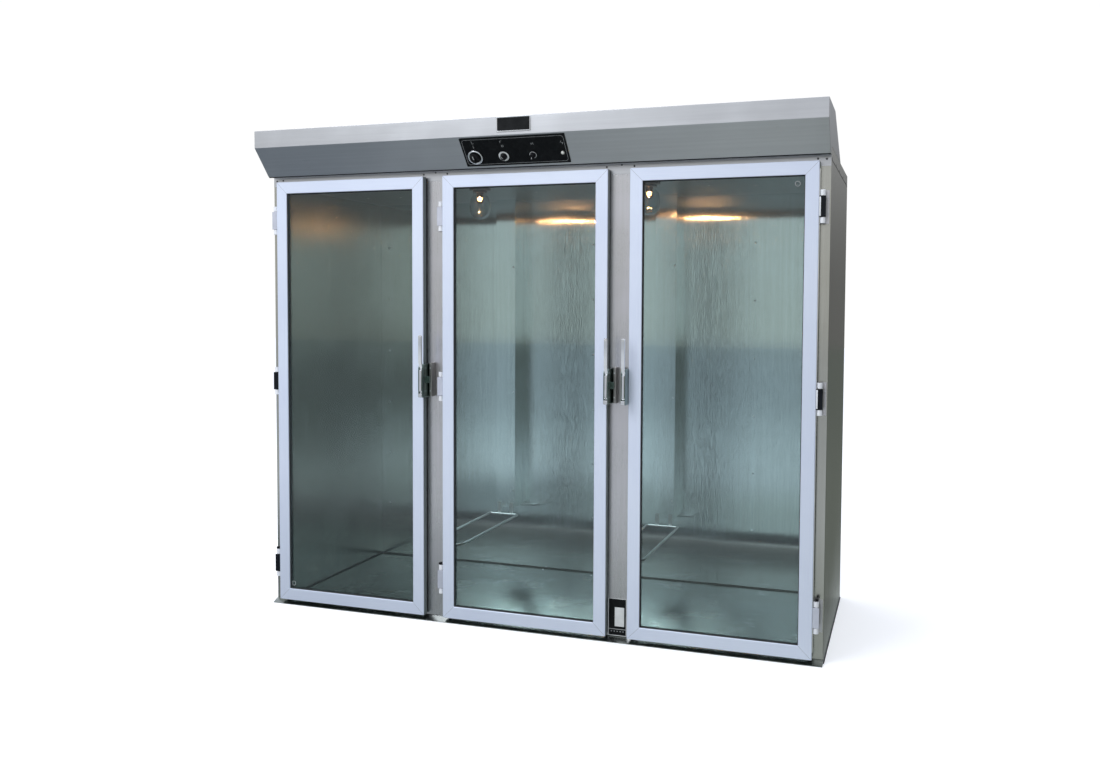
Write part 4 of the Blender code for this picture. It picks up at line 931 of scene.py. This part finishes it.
KNOB_SIZES = {
    "temperature": (0.0345, 0.0224, 18, 100.0),
    "humidity": (0.0242, 0.0140, 14, 120.0),
    "mode": (0.0163, 0.0120, 12, 235.0),
}
for name, (skirt, grip, flutes, turn) in KNOB_SIZES.items():
    base = turned([(skirt, 0), (skirt, SKIRT_HIGH - 0.0008), (skirt - 0.0008, SKIRT_HIGH)], 64)
    handle = fluted(grip, SKIRT_HIGH - 0.0004, 0.0166, flutes, 0.025)
    angle = math.radians(turn)
    across, up = (math.cos(angle), math.sin(angle), 0), (-math.sin(angle), math.cos(angle), 0)
    grasp = stepped(grip * 1.7, 0.0070, 0.0030, [(0, 0.0160), (0, 0.0212), (0.0014, 0.0226)])
    grasp = placed(grasp, (0, 0, 0), across, up, (0, 0, 1))
    parts = [on_plate(shape, KNOBS[name], KNOB_UP, KNOB_LIFT) for shape in (base, handle, grasp)]
    knob = shells(name + "_knob_body", parts, name + "_dial", black_plastic)
    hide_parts(name + "_knob")
    reach = grip * 0.42
    line = bar(reach * math.cos(angle), reach * math.sin(angle), grip * 0.8, 0.0022, turn)
    line = on_plate(line, KNOBS[name], KNOB_UP, KNOB_LIFT + 0.0226)
    shells(name + "_pointer", [line], name + "_dial", print_white)
print("3 knobs")

# %% Bright ring and pale bands on the skirts
ring_profile = [(0.0262, 0.0028), (0.0344, 0.0028), (0.0348, 0.0040), (0.0335, 0.0058),
                (0.0300, 0.0064), (0.0266, 0.0052)]
ring = on_plate(turned(ring_profile, 72), KNOBS["temperature"], KNOB_UP, KNOB_LIFT)
shells("temperature_ring", [ring], "temperature_dial", chrome, ring=True, sharp=60)
for name, inner, outer in (("humidity", 0.0160, 0.0236), ("mode", 0.0140, 0.0158)):
    band = turned([(inner, SKIRT_HIGH), (outer, SKIRT_HIGH), (outer, SKIRT_HIGH + INK), (inner, SKIRT_HIGH + INK)], 64)
    band = on_plate(band, KNOBS[name], KNOB_UP, KNOB_LIFT)
    shells(name + "_band", [band], name + "_dial", print_white, ring=True)
print("ring and bands")

# %% [markdown]
# The badge on the fascia and the rating plate by the right door are kept as bare plates. The badge
# has a rounded chrome rim round a black field, and the rating plate has a silver edge, a black field
# and one blank white field.

# %% Badge and rating plate
badge_low, badge_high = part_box("name_badge")
badge_x, badge_z = (badge_low.x + badge_high.x) / 2, (badge_low.z + badge_high.z) / 2
badge_width, badge_height = badge_high.x - badge_low.x, badge_high.z - badge_low.z
badge_deep = badge_high.y - badge_low.y
rim = stepped(badge_width, badge_height, 0.006,
              [(0, 0), (0, 0.0028), (0.0012, badge_deep), (0.0034, badge_deep), (0.0050, 0.0026), (0.0050, 0)])
badge_rim = shells("badge_rim", [facing_front(rim, badge_x, badge_high.y, badge_z)], "cabinet", chrome, ring=True)
field = stepped(badge_width - 0.0096, badge_height - 0.0096, 0.003, [(0, 0), (0, 0.0024), (0.0003, 0.0027)])
shells("badge_field", [facing_front(field, badge_x, badge_high.y, badge_z)], "cabinet", plate_black)
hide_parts("name_badge")

rate_low, rate_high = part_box("rating_plate")
rate_x, rate_z = (rate_low.x + rate_high.x) / 2, (rate_low.z + rate_high.z) / 2
rate_width, rate_height = rate_high.x - rate_low.x, rate_high.z - rate_low.z
EDGE = 0.0026
edge = stepped(rate_width, rate_height, 0.002, [(0, 0), (0, 0.0003), (EDGE, 0.0003), (EDGE, 0)])
line = stepped(rate_width - 2 * EDGE, 0.0030, 0.0005, [(0, 0), (0, INK)])
shells("rating_edge", [facing_front(edge, rate_x, rate_low.y, rate_z)], "cabinet", print_white, ring=True)
shells("rating_line", [facing_front(line, rate_x, rate_low.y, rate_low.z + 0.029)], "cabinet", print_grey)
blank = stepped(0.0420, 0.0830, 0.001, [(0, 0), (0, INK)])
shells("rating_blank", [facing_front(blank, 0.4365, rate_low.y, 0.1020)], "cabinet", print_white)
dot = stepped(0.0050, 0.0045, 0.0005, [(0, 0), (0, INK)])
dots = [facing_front(dot, 0.4010 + 0.0130 * i, rate_low.y, 0.0385) for i in range(5)]
shells("rating_dots", dots, "cabinet", print_grey)
print("bare badge and rating plate")

# %% [markdown]
# Fasteners are small, but they show how the thing is put together. There are screws along the roof
# seam on each side, two in every hinge plate, rivets in columns up the rear wall, screws in the
# ducts and the ceiling, and one in each strike.

# %% Screws and rivets
SIDE_SCREWS = ((-0.466, 2.030), (-0.244, 2.030), (-0.057, 2.030), (0.180, 2.030), (0.393, 2.030))
side_heads = []
for side in (-1, 1):
    for i, (y, z) in enumerate(SIDE_SCREWS):
        head = screw(0.0048, 0.0010, turn=0.5 * i)
        side_heads.append(placed(head, (side * HALF_WIDTH, y, z), (0, 1, 0), (0, 0, 1), (side, 0, 0)))
shells("side_screws", side_heads, "cabinet", screw_painted_shade)

hinge_heads, strike_heads = [], []
for label, (body, side) in DOORS.items():
    for level_name in ("lower", "middle", "upper"):
        low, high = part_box(f"{label}_door_{level_name}_hinge")
        outer = high.x if side > 0 else low.x
        for share in (0.30, 0.70):
            z = low.z + (high.z - low.z) * share
            hinge_heads.append(facing_front(screw(0.0034, 0.0012), outer - side * 0.0055, high.y - 0.003, z))
    low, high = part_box(label + "_latch_strike")
    for share in (0.16, 0.84):
        z = low.z + (high.z - low.z) * share
        strike_heads.append(facing_front(screw(0.0036, 0.0012), (low.x + high.x) / 2, low.y, z))
shells("hinge_screws", hinge_heads, "cabinet", dull_chrome)
shells("strike_screws", strike_heads, "cabinet", dull_chrome)

RIVET_LEVELS = (1.756, 1.468, 1.179, 0.888, 0.601, 0.313)
RIVET_COLUMNS = (-1.190, -0.840, 0.016, 0.860, 1.190)
rivet = turned([(0.0045, 0.0), (0.0045, 0.0006), (0.0036, 0.0014), (0.0018, 0.0019), (0.0006, 0.0020)], 16)
rivets = [facing_front(rivet, x, REAR, z) for x in RIVET_COLUMNS for z in RIVET_LEVELS]
duct_low, duct_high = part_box("left_air_duct")
for side in (-1, 1):
    for z in (1.640, 0.980, 0.455):
        rivets.append(facing_front(rivet, side * MULLION + 0.044, duct_low.y, z))
shells("rear_rivets", rivets, "cabinet", dull_chrome)

CEILING_SCREWS = ((0.707, 0.001), (0.911, 0.060), (1.100, 0.056), (-0.150, 0.030), (0.180, 0.030),
                  (-0.707, 0.001), (-0.911, 0.060), (-1.100, 0.056))
ceiling_heads = [placed(screw(0.0050, 0.0024), (x, y, CEILING), (1, 0, 0), (0, -1, 0), (0, 0, -1))
                 for x, y in CEILING_SCREWS]
shells("ceiling_screws", ceiling_heads, "cabinet", dull_chrome)
print("screws", len(side_heads) + len(hinge_heads) + len(strike_heads), "rivets", len(rivets))

# %% [markdown]
# The lever of a latch lies in a slot. A bright pad fills the slot to the front, from the pin up, and
# swings out with the lever. A small bright plate closes the slot under it.

# %% Latch pads
PAD_INSET, PAD_SEAT, PAD_PROUD = 0.0010, 0.0090, 0.0004
for label, (body, side) in DOORS.items():
    low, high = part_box(label + "_latch_lever")
    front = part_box(label + "_latch_body")[0]
    pad_x, pad_low, pad_high = (low.x + high.x) / 2, front.z + 0.028, front.z + 0.124
    pad = stepped(high.x - low.x - 2 * PAD_INSET, pad_high - pad_low, 0.003,
                  [(0, 0), (0, PAD_SEAT + PAD_PROUD - 0.0015), (0.0015, PAD_SEAT + PAD_PROUD)])
    pad = facing_front(pad, pad_x, front.y + PAD_SEAT, (pad_low + pad_high) / 2)
    shells(label + "_latch_pad", [pad], frame["nodes"][label + "_latch_lever"]["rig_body"], chrome)
    foot = stepped(0.018, 0.016, 0.002, [(0, 0), (0, 0.0010), (0.0008, 0.0016)])
    foot = facing_front(foot, pad_x, front.y - SKIN, front.z + 0.0095)
    shells(label + "_latch_foot", [foot], body, chrome)
print("latch pads", len(DOORS))

# %% [markdown]
# Each hinge has a white cap over its two end knuckles and a leaf between them that swings with the
# door. The caps stay on the upright. The door's edge strip comes round the axis at 11.2 mm, so a cap
# may be no thicker than 10.8 mm. A small dark clip sits over each lower hinge.

# %% Hinge caps, leaves and clips
CAP_HIGH, CAP_RADIUS = 0.0236, 0.0108
cap = turned([(CAP_RADIUS - 0.001, 0), (CAP_RADIUS, 0.001), (CAP_RADIUS, CAP_HIGH - 0.001),
              (CAP_RADIUS - 0.001, CAP_HIGH)], 32)
UPRIGHT = ((1, 0, 0), (0, 1, 0), (0, 0, 1))
LEAF_OUT, LEAF_IN, LEAF_FORWARD, LEAF_THICK = 0.0132, 0.0128, 0.0122, 0.0016
# Four leaves are coloured near black and the rest pale lavender: painted reflections on the same plated leaf.
LEAVES_WITH_PAINTED_DARK_REFLECTION = (("right", "upper"), ("right", "middle"), ("left", "middle"), ("left", "lower"))
BARREL_RADIUS, CLIP_HIGH = 0.010, 0.010
cap_blocks, clip_blocks, edge_strips = [], [], []
for label, (body, side) in DOORS.items():
    leaves = {"pale": [], "dark": []}
    for level_name in ("lower", "middle", "upper"):
        low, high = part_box(f"{label}_door_{level_name}_hinge")
        axis_y = low.y + BARREL_RADIUS
        axis_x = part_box(label + "_door_frame")[0 if side < 0 else 1].x + side * 0.0135
        for cap_low in (low.z, high.z - CAP_HIGH):
            cap_blocks.append(placed(cap, (axis_x, axis_y, cap_low), *UPRIGHT))
        if level_name == "lower":
            clip = stepped(0.012, CLIP_HIGH, 0.002, [(0, 0), (0, 0.014), (0.001, 0.015)])
            clip_x = axis_x + side * 0.003
            clip_blocks.append(facing_front(clip, clip_x, axis_y + 0.006, high.z + CLIP_HIGH / 2 + 0.001))
        tall = high.z - low.z - 2 * CAP_HIGH - 0.002
        leaf = stepped(LEAF_OUT + LEAF_IN, tall, 0.001, [(0, 0), (0, LEAF_THICK - 0.0005), (0.0005, LEAF_THICK)])
        leaf_x = axis_x + side * (LEAF_OUT - LEAF_IN) / 2
        shade = "dark" if (label, level_name) in LEAVES_WITH_PAINTED_DARK_REFLECTION else "pale"
        leaf_back = axis_y - LEAF_FORWARD + LEAF_THICK
        leaves[shade].append(facing_front(leaf, leaf_x, leaf_back, (low.z + high.z) / 2))
        if shade == "dark" and label == "right":
            strip = stepped(0.006, tall * 0.92, 0.001, [(0, 0), (0, 0.0006), (0.0003, 0.0008)])
            strip_x = axis_x - side * (LEAF_IN - 0.0034)
            edge_strips.append(facing_front(strip, strip_x, leaf_back - LEAF_THICK - 0.0001, (low.z + high.z) / 2))
    for shade, finish in (("pale", hinge_leaf_painted_bright_reflection), ("dark", hinge_leaf_painted_dark_reflection)):
        if leaves[shade]:
            shells(f"{label}_{shade}_hinge_leaves", leaves[shade], body, finish)
shells("hinge_caps", cap_blocks, "cabinet", hinge_white)
shells("hinge_clips", clip_blocks, "cabinet", black_plastic)
shells("hinge_leaf_edges", edge_strips, DOORS["right"][0], hinge_white)
print("hinge caps", len(cap_blocks), "clips", len(clip_blocks))

# %% [markdown]
# A few small marks finish the picture: an etched ring in a corner of two of the panes, two screws
# in the floor, and the dark line of sealant in the seam between each side and the roof.

# %% Etched rings, floor screws and roof seams
RING_OUT, RING_LINE = 0.0110, 0.0026
for label, x, z in (("right", 1.164, 1.927), ("left", -1.178, 0.103)):
    ring = turned([(RING_OUT - RING_LINE, 0), (RING_OUT, 0), (RING_OUT, INK), (RING_OUT - RING_LINE, INK)], 48)
    glass_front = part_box(label + "_door_glass")[0].y
    shells(label + "_etched_ring", [facing_front(ring, x, glass_front, z)], DOORS[label][0], print_grey, ring=True)
floor_heads = [placed(screw(0.0050, 0.0022), (x, y, FLOOR_TOP), (1, 0, 0), (0, 1, 0), (0, 0, 1))
               for x, y in ((-0.252, 0.417), (0.030, 0.390))]
shells("floor_screws", floor_heads, "cabinet", dull_chrome)
SEAM_HEIGHT, SEAM_WIDE = 2.0225, 0.0030
seam_length, seam_middle = REAR + 0.05 - FRONT - 0.006, (REAR + 0.05 + FRONT) / 2
seam_line = stepped(seam_length, SEAM_WIDE, 0.001, [(0, 0), (0, 0.0003), (0.0004, 0.0006)])
seams = [placed(seam_line, (side * HALF_WIDTH, seam_middle, SEAM_HEIGHT), (0, 1, 0), (0, 0, 1), (side, 0, 0))
         for side in (-1, 1)]
shells("roof_seams", seams, "cabinet", rubber)
print("marks and seams")

# %% [markdown]
# Where the walls meet the floor a fitter runs a bead of sealant. It is a quarter of a circle
# carried along the joint, a touch uneven. Inside, it lies in the corner of the chamber, and outside
# it is squeezed out along the foot of each side.

# %% Sealant along the floor
def sealant(start, end, toward_wall, radius, waver=0.08, count=60):
    """A quarter-round bead from start to end. toward_wall points from the corner into the open."""
    start, end = np.array(start, float), np.array(end, float)
    share = np.linspace(0, 1, count)[:, None]
    along = start + (end - start) * share
    size = radius * (1 + waver * np.sin(share * 41) * np.sin(share * 17 + 1))
    into, lift = np.array(toward_wall, float), np.array([0, 0, 1.0])
    turn = np.linspace(0, math.pi / 2, 6)
    corner = np.concatenate([[[0, 0]], np.stack([np.cos(turn), np.sin(turn)], -1)])
    offset = corner[:, :1] * into + corner[:, 1:] * lift
    return along[:, None] + offset[None] * size[:, None]


inner = HALF_WIDTH - 0.050 - SKIN
front_inner = FRONT + 0.051
beads = [
    sealant((-inner, REAR - SKIN, FLOOR_TOP), (inner, REAR - SKIN, FLOOR_TOP), (0, -1, 0), 0.007),
    sealant((-inner, front_inner, FLOOR_TOP), (-inner, REAR - 0.001, FLOOR_TOP), (1, 0, 0), 0.007),
    sealant((inner, front_inner, FLOOR_TOP), (inner, REAR - 0.001, FLOOR_TOP), (-1, 0, 0), 0.007),
]
shells("floor_sealant", beads, "cabinet", seal)
foot_lines = [sealant((side * HALF_WIDTH, FRONT + 0.004, 0.0), (side * HALF_WIDTH, REAR + 0.046, 0.0), (side, 0, 0), 0.0035)
              for side in (-1, 1)]
shells("foot_sealant", foot_lines, "cabinet", rubber)
print("sealant beads", len(beads) + len(foot_lines))

# %% [markdown]
# Last we find the box round the dressed cabinet, without the studio floor.

low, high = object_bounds()
